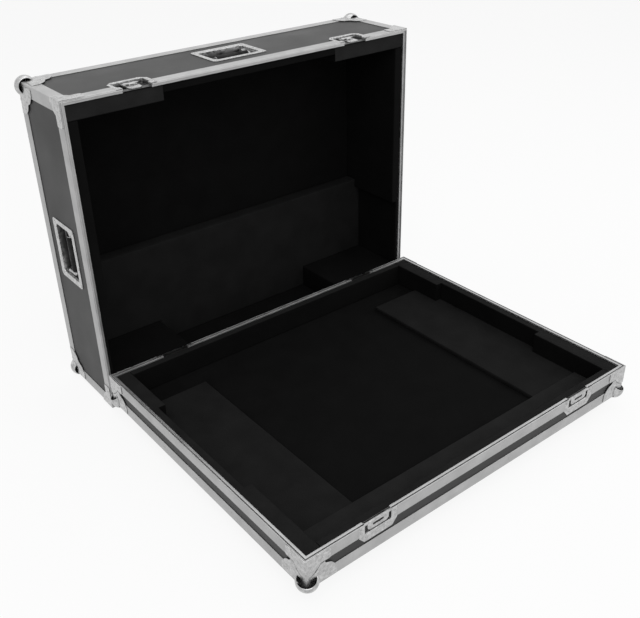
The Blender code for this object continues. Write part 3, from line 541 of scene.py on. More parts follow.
@dataclass(frozen=True)
class Finish:
    """A finish: its name, the record's slot for it, and its two ends of colour and gloss."""

    name: str
    slot: str
    dark: float
    light: float
    smooth: float
    rough: float

    def dress(self, net: Net) -> None:
        """Fill the material's tree."""
        raise NotImplementedError

    def colour(self, net: Net, share: Any) -> Any:
        """The colour at a share of the way from the dark end to the light one."""
        return net.mix(share, grey(self.dark), grey(self.light))

    def gloss(self, share: Any) -> Value:
        """The roughness at a share of the way from the smooth end to the rough one."""
        return self.smooth + (self.rough - self.smooth) * share

    def material(self) -> bpy.types.Material:
        """The finish's material, made at its first use.

        Returns:
            The material.
        """
        found = bpy.data.materials.get(self.name)
        if found is None:
            found = bpy.data.materials.new(self.name)
            found.use_nodes = True
            self.dress(Net(found.node_tree))
            found.diffuse_color = grey(self.light)
        return found


@dataclass(frozen=True)
class Laminate(Finish):
    """Black laminate on board: a fine pebble, faint blotches and a few rubbed marks.

    Fields after the first six are scales of noises and cells, and (depth, strength) of the bump.
    """

    cell_scale: float = 620
    grain_scale: float = 1500
    blotch_scale: float = 7
    streak_scale: Vector3 = (5, 5, 90)
    dust_scale: float = 240
    relief: Pair = (0.12 * MM, 0.5)
    shine: float = 0.28

    def dress(self, net: Net) -> None:
        """Pebble from cells and grain, colour and gloss from slow noise and streaks.

        Args:
            net: The material's tree.
        """
        place = net.place()
        pebble = net.cells(place, self.cell_scale) * 0.7 + net.noise(place, self.grain_scale) * 0.5
        blotch = net.noise(place, self.blotch_scale, 4).over(0.3, 0.7)
        rubbed = net.noise(net.place(self.streak_scale), 1.5, 5).over(0.62, 0.8) * 0.5
        dust = net.noise(place, self.dust_scale, 3).over(0.66, 0.8) * 0.4
        tone = blotch * 0.6 + rubbed * 0.4 + dust * 0.3
        net.surface(Base_Color=self.colour(net, tone), Roughness=self.gloss(blotch) + 0.06 * rubbed,
                    Normal=net.bump(pebble, *self.relief), Specular_IOR_Level=self.shine)


@dataclass(frozen=True)
class Extrusion(Finish):
    """Bare aluminium section: die lines along its run, light handling marks and small dents."""

    line_scale: Vector3 = (6, 2600, 1)
    cloud_scale: float = 24
    mark_scale: Vector3 = (60, 60, 60)
    relief: Pair = (0.05 * MM, 0.5)

    def dress(self, net: Net) -> None:
        """Lines from noise stretched along the run, marks from noise in space.

        Args:
            net: The material's tree.
        """
        place = net.place()
        lines = net.noise(net.place(self.line_scale, on_run=True), 1.0, 3)
        cloud = net.noise(place, self.cloud_scale, 4).over(0.3, 0.72)
        marks = net.noise(net.place(self.mark_scale), 3.0, 6).over(0.63, 0.74)
        tone = lines * 0.55 + cloud * 0.45
        worn = net.mix(marks * 0.5, grey(self.light), grey(self.dark))
        dents = lines * 0.6 + marks * 0.5 + cloud * 0.2
        net.surface(Base_Color=net.mix(tone, grey(self.dark), worn), Metallic=1.0,
                    Roughness=self.gloss(lines * 0.5 + cloud * 0.3 + marks * 0.4),
                    Normal=net.bump(dents, *self.relief))


@dataclass(frozen=True)
class Plating(Finish):
    """Plated pressed steel: a soft mottle, draw lines, dull spots, and painted shade in its
    hollows.
    """

    # The grey of the painted shade in the pans' hollows.
    painted_shade: float = 0.03
    mottle_scale: float = 110
    spot_scale: float = 230
    draw_scale: Vector3 = (30, 900, 1)
    dent_scale: float = 70
    relief: Pair = (0.32 * MM, 0.6)

    def dress(self, net: Net) -> None:
        """Mottle from noises, draw lines from the run, spots from cells, painted shade in the
        hollows from a mark.

        Args:
            net: The material's tree.
        """
        place = net.place()
        mottle = net.noise(place, self.mottle_scale, 4).over(0.28, 0.72)
        spots = net.cells(place, self.spot_scale).over(0.55, 0.85)
        draw = net.noise(net.place(self.draw_scale, on_run=True), 1.0, 2)
        dents = net.noise(place, self.dent_scale, 2)
        hollow = net.mark("hollow")
        tone = mottle * 0.6 + spots * 0.2 + draw * 0.2
        # Painted shade: the colour falls towards a dark grey where the hollow mark rises, standing
        # in for the shade inside the pans.
        shaded_tone = net.mix(hollow * (0.78 + mottle * 0.2), self.colour(net, tone), grey(self.painted_shade))
        net.surface(Base_Color=shaded_tone, Metallic=1.0,
                    Roughness=self.gloss(mottle * 0.7 + spots * 0.3) + 0.12 * hollow,
                    Normal=net.bump(dents * 2.5 + mottle * 0.6 + draw * 0.2, *self.relief))


@dataclass(frozen=True)
class Foam(Finish):
    """Foam: small open cells, soft dents, a little dust, and a top face at the rim painted with the
    light or shade that falls there.
    """

    # The grey painted on the top face at the rim: a painted highlight where it is paler than the
    # body, painted shade where it is not.
    cut: float = 0.018
    cell_scale: float = 520
    dent_scale: float = 16
    dust_scale: float = 420
    relief: Pair = (0.8 * MM, 0.55)
    shine: float = 0.08

    def dress(self, net: Net) -> None:
        """Cells for the bump, slow noise for the colour, dust where fine noise peaks.

        Args:
            net: The material's tree.
        """
        place = net.place()
        cell = net.cells(place, self.cell_scale)
        soft = net.noise(place, self.dent_scale, 4)
        dust = net.noise(place, self.dust_scale, 3).over(0.66, 0.85) * 0.5
        tone = soft.over(0.3, 0.7) * 0.7 + (1 - cell.over(0.1, 0.7)) * 0.2 + dust
        # Painted light: where the 'cut' mark rises, on the top face at the rim, the colour turns to
        # the top grey, standing in for the light or shade that falls there.
        painted_top = net.mix(tone, grey(self.cut * 0.7), grey(self.cut * 1.3))
        net.surface(Base_Color=net.mix(net.mark("cut"), self.colour(net, tone), painted_top),
                    Roughness=self.gloss(soft),
                    Normal=net.bump(cell * 0.6 + soft * 1.5, *self.relief),
                    Specular_IOR_Level=self.shine)


@dataclass(frozen=True)
class Rubber(Finish):
    """Moulded rubber: a matt grain with rubbed, slightly shiny high spots."""

    grain_scale: float = 900
    worn_scale: float = 60
    relief: Pair = (0.15 * MM, 0.5)
    shine: float = 0.22

    def dress(self, net: Net) -> None:
        """Grain for the bump and slow noise for colour and gloss.

        Args:
            net: The material's tree.
        """
        place = net.place()
        grain = net.noise(place, self.grain_scale, 3)
        worn = net.noise(place, self.worn_scale, 3).over(0.4, 0.7)
        net.surface(Base_Color=self.colour(net, worn),
                    Roughness=self.rough - (self.rough - self.smooth) * worn,
                    Normal=net.bump(grain, *self.relief), Specular_IOR_Level=self.shine)


LAMINATE = Laminate("laminate", "black_laminate", 0.020, 0.038, 0.42, 0.56)
SECTION = Extrusion("aluminium section", "aluminium", 0.34, 0.52, 0.40, 0.60)
ZINC = Plating("zinc plate", "plated_steel", 0.28, 0.68, 0.20, 0.40)
BRIGHT = Plating("bright steel", "bright_steel", 0.38, 0.66, 0.14, 0.30)
# These three are one black foam with a different grey painted on their tops at the rim: a painted
# highlight on the plain foam, a brighter one on the lid blocks, painted shade on the side foam.
DARK_FOAM = Foam("black foam", "black_foam", 0.0016, 0.0040, 0.9, 1.0)
SIDE_FOAM = Foam("dull black foam", "black_foam", 0.0016, 0.0040, 0.9, 1.0, cut=0.0035)
BLOCK_FOAM = Foam("black foam with painted lit top", "black_foam", 0.0016, 0.0040, 0.9, 1.0, cut=0.030)
PAD_FOAM = Foam("grey black foam", "pad_foam", 0.0075, 0.0130, 0.9, 1.0)
# The strip's foam is the same black foam painted lighter, for the light that falls on the strip.
LIT_STRIP_FOAM = Foam("painted lit strip foam", "black_foam", 0.0110, 0.0190, 0.9, 1.0)
RUBBER = Rubber("moulded rubber", "black_rubber", 0.003, 0.009, 0.55, 0.8)


# The case's own sizes and places


@dataclass(frozen=True)
class Case:
    """Sizes shared by all sub-assemblies, in metres, as the CAD has them."""

    width: float = 1.030
    depth: float = 0.817
    base_height: float = 0.083
    lid_height: float = 0.238
    sheet: float = 1.5 * MM
    seat: float = 0.3 * MM
    angle_leg: float = 30 * MM
    rim_leg: float = 28 * MM
    rim_width: float = 10.6 * MM
    ball_proud: float = 12 * MM
    foot_height: float = 40 * MM
    front_y: float = -0.5359
    latch_x: float = 0.3265

    @property
    def half_width(self) -> float:
        """Half the case's width."""
        return self.width / 2

    @property
    def out(self) -> float:
        """How far a plate's shown face stands off the wall."""
        return self.sheet + self.seat


CASE = Case()
HANDS = (("left", -1), ("right", 1))


class Half(Enum):
    """The two halves of the case, each with the frame that its closed face lies in."""

    BASE = "base"
    LID = "lid"

    @property
    def height(self) -> float:
        """From the closed face to the rim."""
        return CASE.base_height if self is Half.BASE else CASE.lid_height

    @property
    def matrix(self) -> Array:
        """The half's frame: x along the case, y across it, z from the closed face to the rim.

        Returns:
            The frame's 4x4 matrix.
        """
        if self is Half.BASE:
            return shifted(0, CASE.front_y, CASE.foot_height)
        return shifted(0, -CASE.front_y, CASE.ball_proud) @ turned("x", QUARTER)

    def end(self, high: bool) -> str:
        """The name of the wall at y = 0 or, where high is set, at y = depth."""
        return "front" if high == (self is Half.LID) else "rear"


class Side(Enum):
    """The four walls of a half."""

    LOW = "low"
    HIGH = "high"
    LEFT = "left"
    RIGHT = "right"


def wall_frame(half: Half, side: Side, along: float, rise: float) -> Array:
    """A frame on a wall's outer face: x along the wall, y inward, z towards the rim.

    Args:
        half: The half.
        side: The wall.
        along: The place along the wall, in the half's frame.
        rise: The height over the closed face.

    Returns:
        The frame's 4x4 matrix.
    """
    place, turn = {
        Side.LOW: ((along, 0), 0.0),
        Side.HIGH: ((along, CASE.depth), math.pi),
        Side.LEFT: ((-CASE.half_width, along), -QUARTER),
        Side.RIGHT: ((CASE.half_width, along), QUARTER),
    }[side]
    return half.matrix @ shifted(*place, rise) @ turned("z", turn)


def corner_frames(half: Half) -> list[tuple[str, Array]]:
    """Each corner's name and frame: both axes run along the case's edges, away from its point.

    Args:
        half: The half.

    Returns:
        The four names and 4x4 matrices.
    """
    frames = []
    for quarter, (x, y) in enumerate(rectangle(-CASE.half_width, 0, CASE.half_width, CASE.depth)):
        name = f"{half.end(bool(y > 0))}_{'left' if x < 0 else 'right'}"
        frames.append((name, half.matrix @ shifted(x, y, 0) @ turned("z", quarter * QUARTER)))
    return frames


# Sub-assemblies


@dataclass
class EdgeAngles:
    """Aluminium angles round a half's closed face and up its four corners."""

    half: Half
    outer_round: float = 2.2 * MM
    leg_round: float = 0.5 * MM
    rivet_pitch: float = 0.16
    rivet_end: float = 0.12
    rivet_size: Pair = (2.5 * MM, 0.7 * MM)
    short_leg: float = 12 * MM

    def profile(self, leg: float) -> Array:
        """An L with its outer bend and leg ends rounded, as (inset, rise).

        Args:
            leg: The length of both legs.

        Returns:
            The outline, as (n, 2).
        """
        sheet = CASE.sheet
        corners = np.array([(0, 0), (leg, 0), (leg, sheet), (sheet, sheet), (sheet, leg), (0, leg)])
        return filleted(corners, [self.outer_round, *[self.leg_round] * 5])

    def build(self) -> None:
        """One mitred ring, and an upright angle at each corner under the rim."""
        shape = Shape()
        ring = rectangle(-CASE.half_width, 0, CASE.half_width, CASE.depth)
        inward = np.array([(1, 1), (-1, 1), (-1, -1), (1, -1)], float)
        shape.carried(self.profile(CASE.angle_leg), ring, inward, self.half.matrix, closed=True)
        plan = self.profile(self.short_leg if self.half is Half.BASE else CASE.angle_leg)
        top = self.half.height - CASE.rim_leg - CASE.seat
        upright = lifted(np.stack([plan] * 2), np.array([[CASE.angle_leg + CASE.seat], [top]]))
        for _, corner in corner_frames(self.half):
            shape.grid(placed(upright, corner), wrap=(False, True), caps=True)
        name = self.half.value
        shape.piece(f"{name}_edge_angles", SECTION, name, [f"{name}_edge_frame"])

    def rivet(self) -> None:
        """Rivet heads along the angles on the outer walls."""
        shape = Shape()
        for side in Side:
            across = side in (Side.LEFT, Side.RIGHT)
            length = CASE.depth if across else CASE.width
            count = round((length - 2 * self.rivet_end) / self.rivet_pitch)
            x = np.linspace(-1, 1, count + 1) * (length / 2 - self.rivet_end)
            spots = np.stack([x, np.full_like(x, CASE.angle_leg / 2)], axis=1)
            place = wall_frame(self.half, side, length / 2 if across else 0.0, 0)
            shape.rivets(spots, place, *self.rivet_size, 0.0)
        shape.piece(f"{self.half.value}_angle_rivets", SECTION, self.half.value)


@dataclass
class RimSection:
    """The hybrid section on a half's rim, cut away at its four latches.

    The tongue's and the groove's points are (inset, rise) in millimetres.
    """

    half: Half
    inner: float = 9.1 * MM
    lip: float = 12 * MM
    web: float = 2 * MM
    plate_half: float = 52.3 * MM
    mouth_half: float = 37.5 * MM
    shown_round: float = 1.3 * MM
    small_round: float = 0.3 * MM
    mouth_drop: float = 6.5 * MM
    tongue: Rows = ((2.0, 0), (2.3, 4.5), (3.9, 4.5), (4.2, 0))
    groove: Rows = ((1.5, 0), (1.5, -5.0), (4.7, -5.0), (4.7, 0))

    def profile(self, cut: float = 0.0) -> Array:
        """The section as (inset, rise), without what lies nearer the outside than a cut.

        Args:
            cut: 0 for the whole section, or the depth cut away from outside.

        Returns:
            The rounded outline.
        """
        width, sheet, inner, small = CASE.rim_width, CASE.sheet, self.inner, self.small_round
        if cut >= inner:
            return filleted(rectangle(inner, -self.mouth_drop, width, -self.lip), small)
        lid = self.half is Half.LID
        middle = mm(*(self.tongue if lid else self.groove))
        floor = min(0.0, middle[:, 1].min()) - self.web
        tail = [(width, 0), (width, -self.lip), (inner, -self.lip), (inner, floor)]
        if cut:
            middle[:, 0] = np.maximum(middle[:, 0], cut)
            first = 0 if lid else 1
            return filleted(np.array([*middle[first:], *tail, (cut, floor)]), small / 3)
        points = [(0, -CASE.rim_leg), (0, 0), *middle, *tail, (sheet, floor),
                  (sheet, -CASE.rim_leg)]
        radii = [small, self.shown_round, *[small] * len(middle), small * 2, *[small] * 5]
        return filleted(np.array(points), radii)

    def build(self) -> None:
        """Whole section between the latches, thinned beside them, only its lip across them."""
        shape = Shape()
        half_x, depth, x = CASE.half_width, CASE.depth, CASE.latch_x
        place = self.half.matrix @ shifted(0, 0, self.half.height)
        whole, thin, lip = self.profile(), self.profile(CASE.out), self.profile(self.inner)
        for sign in (-1, 1):
            edge = sign * (x + self.plate_half)
            path = np.array([(edge, 0), (sign * half_x, 0), (sign * half_x, depth), (edge, depth)])
            inward = np.array([(0, 1), (-sign, 1), (-sign, -1), (0, -1)], float)
            shape.carried(whole, path, inward, place)
        for y, way in ((0.0, 1.0), (depth, -1.0)):
            spans = [(self.plate_half - x, x - self.plate_half, whole)]
            for centre in (-x, x):
                spans += [(centre - self.mouth_half, centre + self.mouth_half, lip),
                          (centre - self.plate_half, centre - self.mouth_half, thin),
                          (centre + self.mouth_half, centre + self.plate_half, thin)]
            for start, stop, profile in spans:
                path = np.array([(start, y), (stop, y)])
                shape.carried(profile, path, np.array([(0, way)] * 2), place)
        name = self.half.value
        shape.piece(f"{name}_rim_section", SECTION, name, [f"{name}_rim"])


@dataclass
class CornerBraces:
    """Pressed plates bent round the rim's corners, with two arms and a tongue down the edge.

    The rivet's place is (reach, rise) in millimetres. The grid's columns are close together in
    the last dense share of the throat, and row_shares say where its rows lie. Steps are those of
    the even columns, the close ones and the bends.
    """

    half: Half
    leg: float = 62 * MM
    arm: float = 27 * MM
    drop: float = 50 * MM
    throat: float = 36 * MM
    fullness: float = 0.77
    end_round: float = 4 * MM
    bend: float = 2 * MM
    soft_edge: float = 0.25 * MM
    rivet: Pair = (44.0, -13.5)
    dense: float = 0.3
    steps: tuple[int, int, int] = (10, 12, 6)
    row_shares: tuple[float, ...] = (0, 0.03, 0.5, 0.97, 1)

    def end_fall(self, reach: Array) -> Array:
        """How far the arm's round end takes its edges in, at distances from the corner."""
        past = (np.abs(reach) - self.leg + self.end_round) / self.end_round
        return self.end_round * round_from(np.clip(past, 0, 1))

    def low(self, reach: Array) -> Array:
        """The lower edge's rise: a cosine to a power under 1 makes the tongue.

        Args:
            reach: Distances from the corner.

        Returns:
            The rise over the rim at each distance.
        """
        share = np.clip(np.abs(reach) / self.throat, 0, 1)
        curve = np.cos(share * QUARTER).clip(0) ** self.fullness
        return -self.arm - (self.drop - self.arm) * curve + self.end_fall(reach)

    def build(self) -> None:
        """Four plates and their rivets."""
        centre, (even, close, turns) = self.bend - CASE.out, self.steps
        straight = np.unique(np.concatenate([
            np.linspace(centre, (1 - self.dense) * self.throat, even),
            self.throat * (1 - self.dense * np.linspace(1, 0, close) ** 2),
            self.leg - self.end_round * (1 - np.sin(np.linspace(0, QUARTER, turns))),
            [(self.throat + self.leg) / 2]]))
        turn = arc(1.0, math.pi, 1.5 * math.pi, turns)[1:-1]
        reach = np.concatenate([straight[::-1], np.zeros(len(turn)), straight])
        low, high = self.low(reach), -CASE.seat - self.end_fall(reach)
        rise = low[:, None] + (high - low)[:, None] * np.array(self.row_shares)

        def face(radius: float) -> Array:
            """The plate's face at one distance from the bend's centre: two arms and the arc.

            Args:
                radius: The distance.

            Returns:
                The grid, as (columns, rows, 3).
            """
            arm = np.stack([straight, np.full(len(straight), centre - radius)], axis=1)
            plan = np.concatenate([arm[::-1, ::-1], centre + radius * turn, arm])
            return lifted(np.broadcast_to(plan[:, None], (*rise.shape, 2)), rise)

        shape, spot = Shape(), mm(self.rivet)
        outer, inner = face(self.bend), face(self.bend - CASE.sheet)
        for _, corner in corner_frames(self.half):
            place = corner @ shifted(0, 0, self.half.height)
            shape.shell(placed(outer, place), placed(inner, place))
            shape.rivets(spot, place)
            shape.rivets(spot * np.array([-1, 1]), place @ turned("z", -QUARTER))
        name = self.half.value
        shape.piece(f"{name}_corner_braces", ZINC, name, [f"{name}_rim"], self.soft_edge)


@dataclass
class BallCorner:
    """A pressed ball corner: a bowl open towards the rim, and a two-lobed ear on three faces.

    The ear's outline and its rivets are (reach, height) from the corner in millimetres, and the
    bead is its ring's radius, width and rise. Steps are (lower, upper) and (columns, rows).
    """

    half: Half
    radius: float = 25 * MM
    wall: float = 1.6 * MM
    open_height: float = 27 * MM
    base_dip: float = 13 * MM
    lid_dip: float = 2 * MM
    sides: int = 72
    seam: float = 1.4 * MM
    bead: Vector3 = (31 * MM, 4 * MM, 0.9 * MM)
    bowl_steps: tuple[int, int] = (16, 5)
    bowl_rim: float = 0.2
    ear_steps: tuple[int, int] = (66, 15)
    ear_start: float = 12 * MM
    least_height: float = 0.2 * MM
    sharp: float = 40.0
    margin: float = 5 * MM
    notched_margin: float = 8.5 * MM
    end_round: float = 2 * MM
    ear: Rows = (
        (24.0, 77.0), (29.0, 74.5), (43.0, 64.0), (46.0, 56.5), (49.0, 49.0), (56.5, 46.0),
        (64.0, 43.0), (74.5, 29.0), (77.0, 24.0))
    ear_rivets: Rows = ((62, 27), (27, 62), (43, 43))
    notched_rivets: Rows = ((62, 17), (43, 30))

    @property
    def inset(self) -> float:
        """How far the ball's centre lies inside the three faces."""
        return self.radius - CASE.ball_proud

    def ear_grid(self, notch: CornerBraces | None) -> Array:
        """One ear on a grid: from its lower edge to its lobed top, as (reach, 0, height) points.

        The top is the lobes' outline with its corners cut twice by quarters, and where a brace
        stands above, no higher than the brace's lower edge less a seam. A round bead, rise times
        exp(-((distance - ring) / width) ** 2), follows the bowl.

        Args:
            notch: The brace that the ear leaves room for, or None.

        Returns:
            The grid, as (columns, rows, 3).
        """
        line, (columns, rows) = mm(*self.ear), self.ear_steps
        for _ in range(2):
            cut = np.stack([line[:-1] * 0.75 + line[1:] * 0.25,
                            line[:-1] * 0.25 + line[1:] * 0.75], axis=1)
            line = np.concatenate([line[:1], cut.reshape(-1, 2), line[-1:]])
        first = self.margin if notch is None else self.notched_margin
        kink, far = 2 * self.margin, line[-1, 0]
        reach = np.unique(np.concatenate([np.linspace(first, kink, 4),
                                          np.linspace(self.ear_start, far, columns), line[:, 0]]))
        step = np.clip((reach - first) / self.end_round, 0, 1)
        top = np.interp(reach, line[:, 0], line[:, 1]) - self.end_round * round_from(1 - step)
        slope = self.margin / (far - kink)
        low = kink + (kink - reach) * np.where(reach < kink, 1 / slope, slope)
        if notch is not None:
            top = np.minimum(top, self.half.height + notch.low(reach) - self.seam)
        low = np.minimum(low, top - self.least_height)
        height = low[:, None] + (top - low)[:, None] * np.linspace(0, 1, rows)
        across = np.broadcast_to(reach[:, None], height.shape)
        ring, width, rise = self.bead
        away = np.hypot(across - self.inset, height - self.inset)
        raised = rise * np.exp(-(((away - ring) / width) ** 2))
        return np.stack([across, -CASE.out - raised, height], axis=2)

    def skin(self, radius: float) -> Array:
        """A sphere of one radius up to an open lip, spun about the upright axis.

        The lip dips towards the corner by dip * (1 - (angle off the diagonal / a quarter) ** 2).

        Args:
            radius: The sphere's radius.

        Returns:
            The grid, as (rows, columns, 3).
        """
        lower_steps, upper_steps = self.bowl_steps
        curve = arc(radius, -QUARTER, 0, lower_steps)
        angle = np.arange(self.sides + 1) / self.sides * FULL_TURN
        off = np.abs((angle - 0.25 * math.pi) % FULL_TURN - math.pi) / QUARTER
        dip = self.base_dip if self.half is Half.BASE else self.lid_dip
        lip = self.open_height - self.inset - dip * np.clip(1 - off ** 2, 0, 1)
        upper = lip * np.linspace(self.bowl_rim, 1, upper_steps)[:, None]
        lower = np.broadcast_to(curve[:, None], (len(curve), len(angle), 2))
        r = np.concatenate([lower[..., 0], np.sqrt(radius ** 2 - upper ** 2)])
        z = np.concatenate([lower[..., 1], upper])
        return self.inset + np.stack([r * np.cos(angle), r * np.sin(angle), z], axis=2)

    def bowl(self) -> tuple[Array, list[Array]]:
        """The bowl as a closed shell in the corner's frame, without what would lie in the case.

        Returns:
            Its points, and its faces in blocks that have one number of corners each.
        """
        outer, inner = self.skin(self.radius), self.skin(self.radius - self.wall)
        middle = (outer[-1:] + inner[-1:]) / 2 + np.array([0, 0, self.wall / 2])
        shape = Shape()
        shape.grid(np.concatenate([outer, middle, inner[::-1]]))
        mesh = bpy.data.meshes.new("bowl")
        work = shape.welded(mesh)
        limit = -CASE.seat - CASE.sheet / 2
        for normal in np.eye(3):
            bmesh.ops.bisect_plane(work, geom=[*work.verts, *work.edges, *work.faces],
                                   plane_co=[limit] * 3, plane_no=normal, dist=ON_PLANE)
        inside = [f for f in work.faces if min(f.calc_center_median()) > limit]
        bmesh.ops.delete(work, geom=inside, context="FACES")
        work.to_mesh(mesh)
        work.free()
        points = read(mesh.vertices, "co", width=3).astype(float)
        start, size = (read(mesh.polygons, f"loop_{name}", np.int32)[:, 0]
                       for name in ("start", "total"))
        corners = read(mesh.loops, "vertex_index", np.int32)[:, 0]
        blocks = [corners[start[size == count][:, None] + np.arange(count)]
                  for count in np.unique(size)]
        return points, blocks

    def build(self) -> None:
        """The four ball corners of a half, each one piece of bowl, ears and rivets."""
        notch = CornerBraces(self.half) if self.half is Half.BASE else None
        points, blocks = self.bowl()
        wall_ear = (self.ear_grid(notch), mm(*(self.notched_rivets if notch else self.ear_rivets)))
        floor_ear = (self.ear_grid(None), mm(*self.ear_rivets))
        inward = np.array([0, CASE.sheet, 0])
        name = self.half.value
        for corner_name, corner in corner_frames(self.half):
            shape = Shape()
            for faces in blocks:
                shape.add(placed(points, corner), faces)
            for (grid, spots), matrix in ((wall_ear, corner), (wall_ear, corner @ SWAP_XY),
                                          (floor_ear, corner @ SWAP_YZ)):
                shape.shell(placed(grid, matrix), placed(grid + inward, matrix))
                shape.rivets(spots, matrix)
            shape.piece(f"{name}_ball_corner_{corner_name}", ZINC, name,
                        [f"{name}_ball_{corner_name}"], angle=self.sharp)


@dataclass
class PressedPlate:
    """A flat plate with a pan pressed in it, worked out row by row across the wall.

    Each row is the same section: flange, rounded lip, wall, rounded floor and back. Its depth, its
    half width and the plate's half width change from row to row.
    """

    lip: float = 1.2 * MM
    floor: float = 2.0 * MM
    draft: float = 0.15 * MM
    steps: int = 4
    thick: float = 1.2 * MM
    sharp: float = 30.0
    # Depths over which the painted shade in the pan grows from none to full.
    painted_shade: Pair = (2.5 * MM, 6 * MM)
    rivet_size: Pair = (2.8 * MM, 1.1 * MM)
    spots: Rows = ()

    def bend(self, shallow: float, deep: float) -> Array:
        """A wall's section: a lip arc from the shallow side, then a floor arc to the deep one.

        Args:
            shallow: The depth on the wall's upper side.
            deep: The pan's depth.

        Returns:
            (distance out of the pan, depth) of each point, as (n, 2).
        """
        angle = np.linspace(0, QUARTER, self.steps + 1)
        sine, cosine = 1 - np.sin(angle), 1 - np.cos(angle)
        lip = np.stack([self.lip * sine, shallow + self.lip * cosine], axis=1)
        floor = np.stack([-self.floor * cosine - self.draft, deep - self.floor * sine], axis=1)
        return np.concatenate([lip, floor])

    def wall_rows(self, start: float, deep: float, shallow: float, way: int) -> Array:
        """Rows (z, depth) down an end wall at start, which faces +z or, for way = -1, -z.

        Args:
            start: The wall's place.
            deep: The pan's depth.
            shallow: The depth on the wall's upper side.
            way: 1, or -1 for a wall that faces -z.

        Returns:
            The rows, as (n, 2).
        """
        rows = self.bend(shallow, deep)
        rows[:, 0] = start - way * rows[:, 0]
        return rows[::way]

    def surface(self, rows: Array, half: Array, edge: Array) -> Array:
        """The shown face, as (rows, columns, 3) of (x, depth, z).

        Args:
            rows: (z, depth) of each row, as (m, 2).
            half: The pan's half width at each row.
            edge: The plate's half width at each row.

        Returns:
            The grid.
        """
        deepest = rows[:, 1].max()
        section, edge = self.bend(0.0, deepest), edge[:, None]
        share = np.concatenate([[0.0], section[:, 1], [deepest]]) / deepest
        wall = np.minimum(half[:, None] + section[:, 0], edge)
        x = np.concatenate([edge, wall, 0 * edge], axis=1)
        y = rows[:, 1:] * share
        x, y = (np.concatenate([sign * v, v[:, -2::-1]], axis=1) for sign, v in ((-1, x), (1, y)))
        return lifted(np.stack([x, y], axis=2), rows[:, :1])

    def face(self) -> Array:
        """The shown face, which each kind of plate lays out."""
        raise NotImplementedError

    def extras(self, shape: Shape, place: Array) -> None:
        """Add what else belongs to the plate, which is nothing for most."""

    def press(self, name: str, place: Array, body: str, node: str) -> None:
        """Make the plate at a place with its extras and rivets, as one piece.

        Args:
            name: The piece's name.
            place: The wall's frame.
            body: The body that it rides on.
            node: The CAD node that it replaces.
        """
        shape = Shape()
        shape.sheet(placed(self.face(), place), self.thick, -place[:3, 1])
        self.extras(shape, place)
        shape.rivets(mm(*self.spots), place, *self.rivet_size, 0.0)
        # The hollow mark carries the painted shade that darkens the pan's inside.
        mark = ramp_mark("hollow", place, *self.painted_shade)
        shape.piece(name, ZINC, body, [node], angle=self.sharp, mark=mark)


def rounded_half(z: Array, low: float, high: float, half: float, radius: float) -> Array:
    """Half the width of a rectangle with round corners, at heights z between low and high."""
    near = np.clip(np.minimum(z - low, high - z), 0, radius)
    return half - radius + np.sqrt(radius ** 2 - (radius - near) ** 2)


@dataclass
class LatchPan(PressedPlate):
    """The lid's half of a latch: a deep pan for the key, and a shallow mouth through the rim.

    The pan is (half width, low, high) and the mouth (half width, depth).
    """

    plate: float = 52 * MM
    length: float = 62 * MM
    chamfer: float = 14 * MM
    pan: Vector3 = (42 * MM, -54 * MM, -15 * MM)
    depth: float = 12.5 * MM
    mouth: Pair = (36 * MM, 7.3 * MM)
    corner: float = 5 * MM
    corner_start: float = 0.3
    corner_steps: int = 5
    floor_gap: float = 2.3 * MM
    flange_gap: float = 3 * MM
    flat_rows: Pair = (-40, -30)
    mouth_row: float = -8 * MM
    spots: Rows = (
        (-47, -6), (47, -6), (-47, -42), (47, -42), (-30, -58.2), (30, -58.2), (0, -58.2))

    def edge(self, z: Array) -> Array:
        """The plate's half width at heights z, with its two lower corners cut."""
        return np.minimum(self.plate, self.plate - self.chamfer + z + self.length)

    def face(self) -> Array:
        """The shown face from the plate's foot to the rim.

        Returns:
            The grid, as (rows, columns, 3).
        """
        half, low, high = self.pan
        wide, shallow = self.mouth
        turn = 1 - np.cos(np.linspace(self.corner_start, 1, self.corner_steps) * QUARTER)
        corner = self.corner * turn + self.floor_gap
        flat = np.concatenate([low + corner, mm(*self.flat_rows), high - corner[::-1]])
        rows = np.concatenate([
            [[-self.length, 0], [low - self.flange_gap, 0]],
            self.wall_rows(low, self.depth, 0.0, 1),
            np.stack([flat, np.full(len(flat), self.depth)], axis=1),
            self.wall_rows(high, self.depth, shallow, -1),
            [[self.mouth_row, shallow], [-CASE.seat, shallow]]])
        z = rows[:, 0]
        inside = np.where(z > high, wide, rounded_half(z, low, high, half, self.corner))
        return self.surface(rows, inside, self.edge(z))


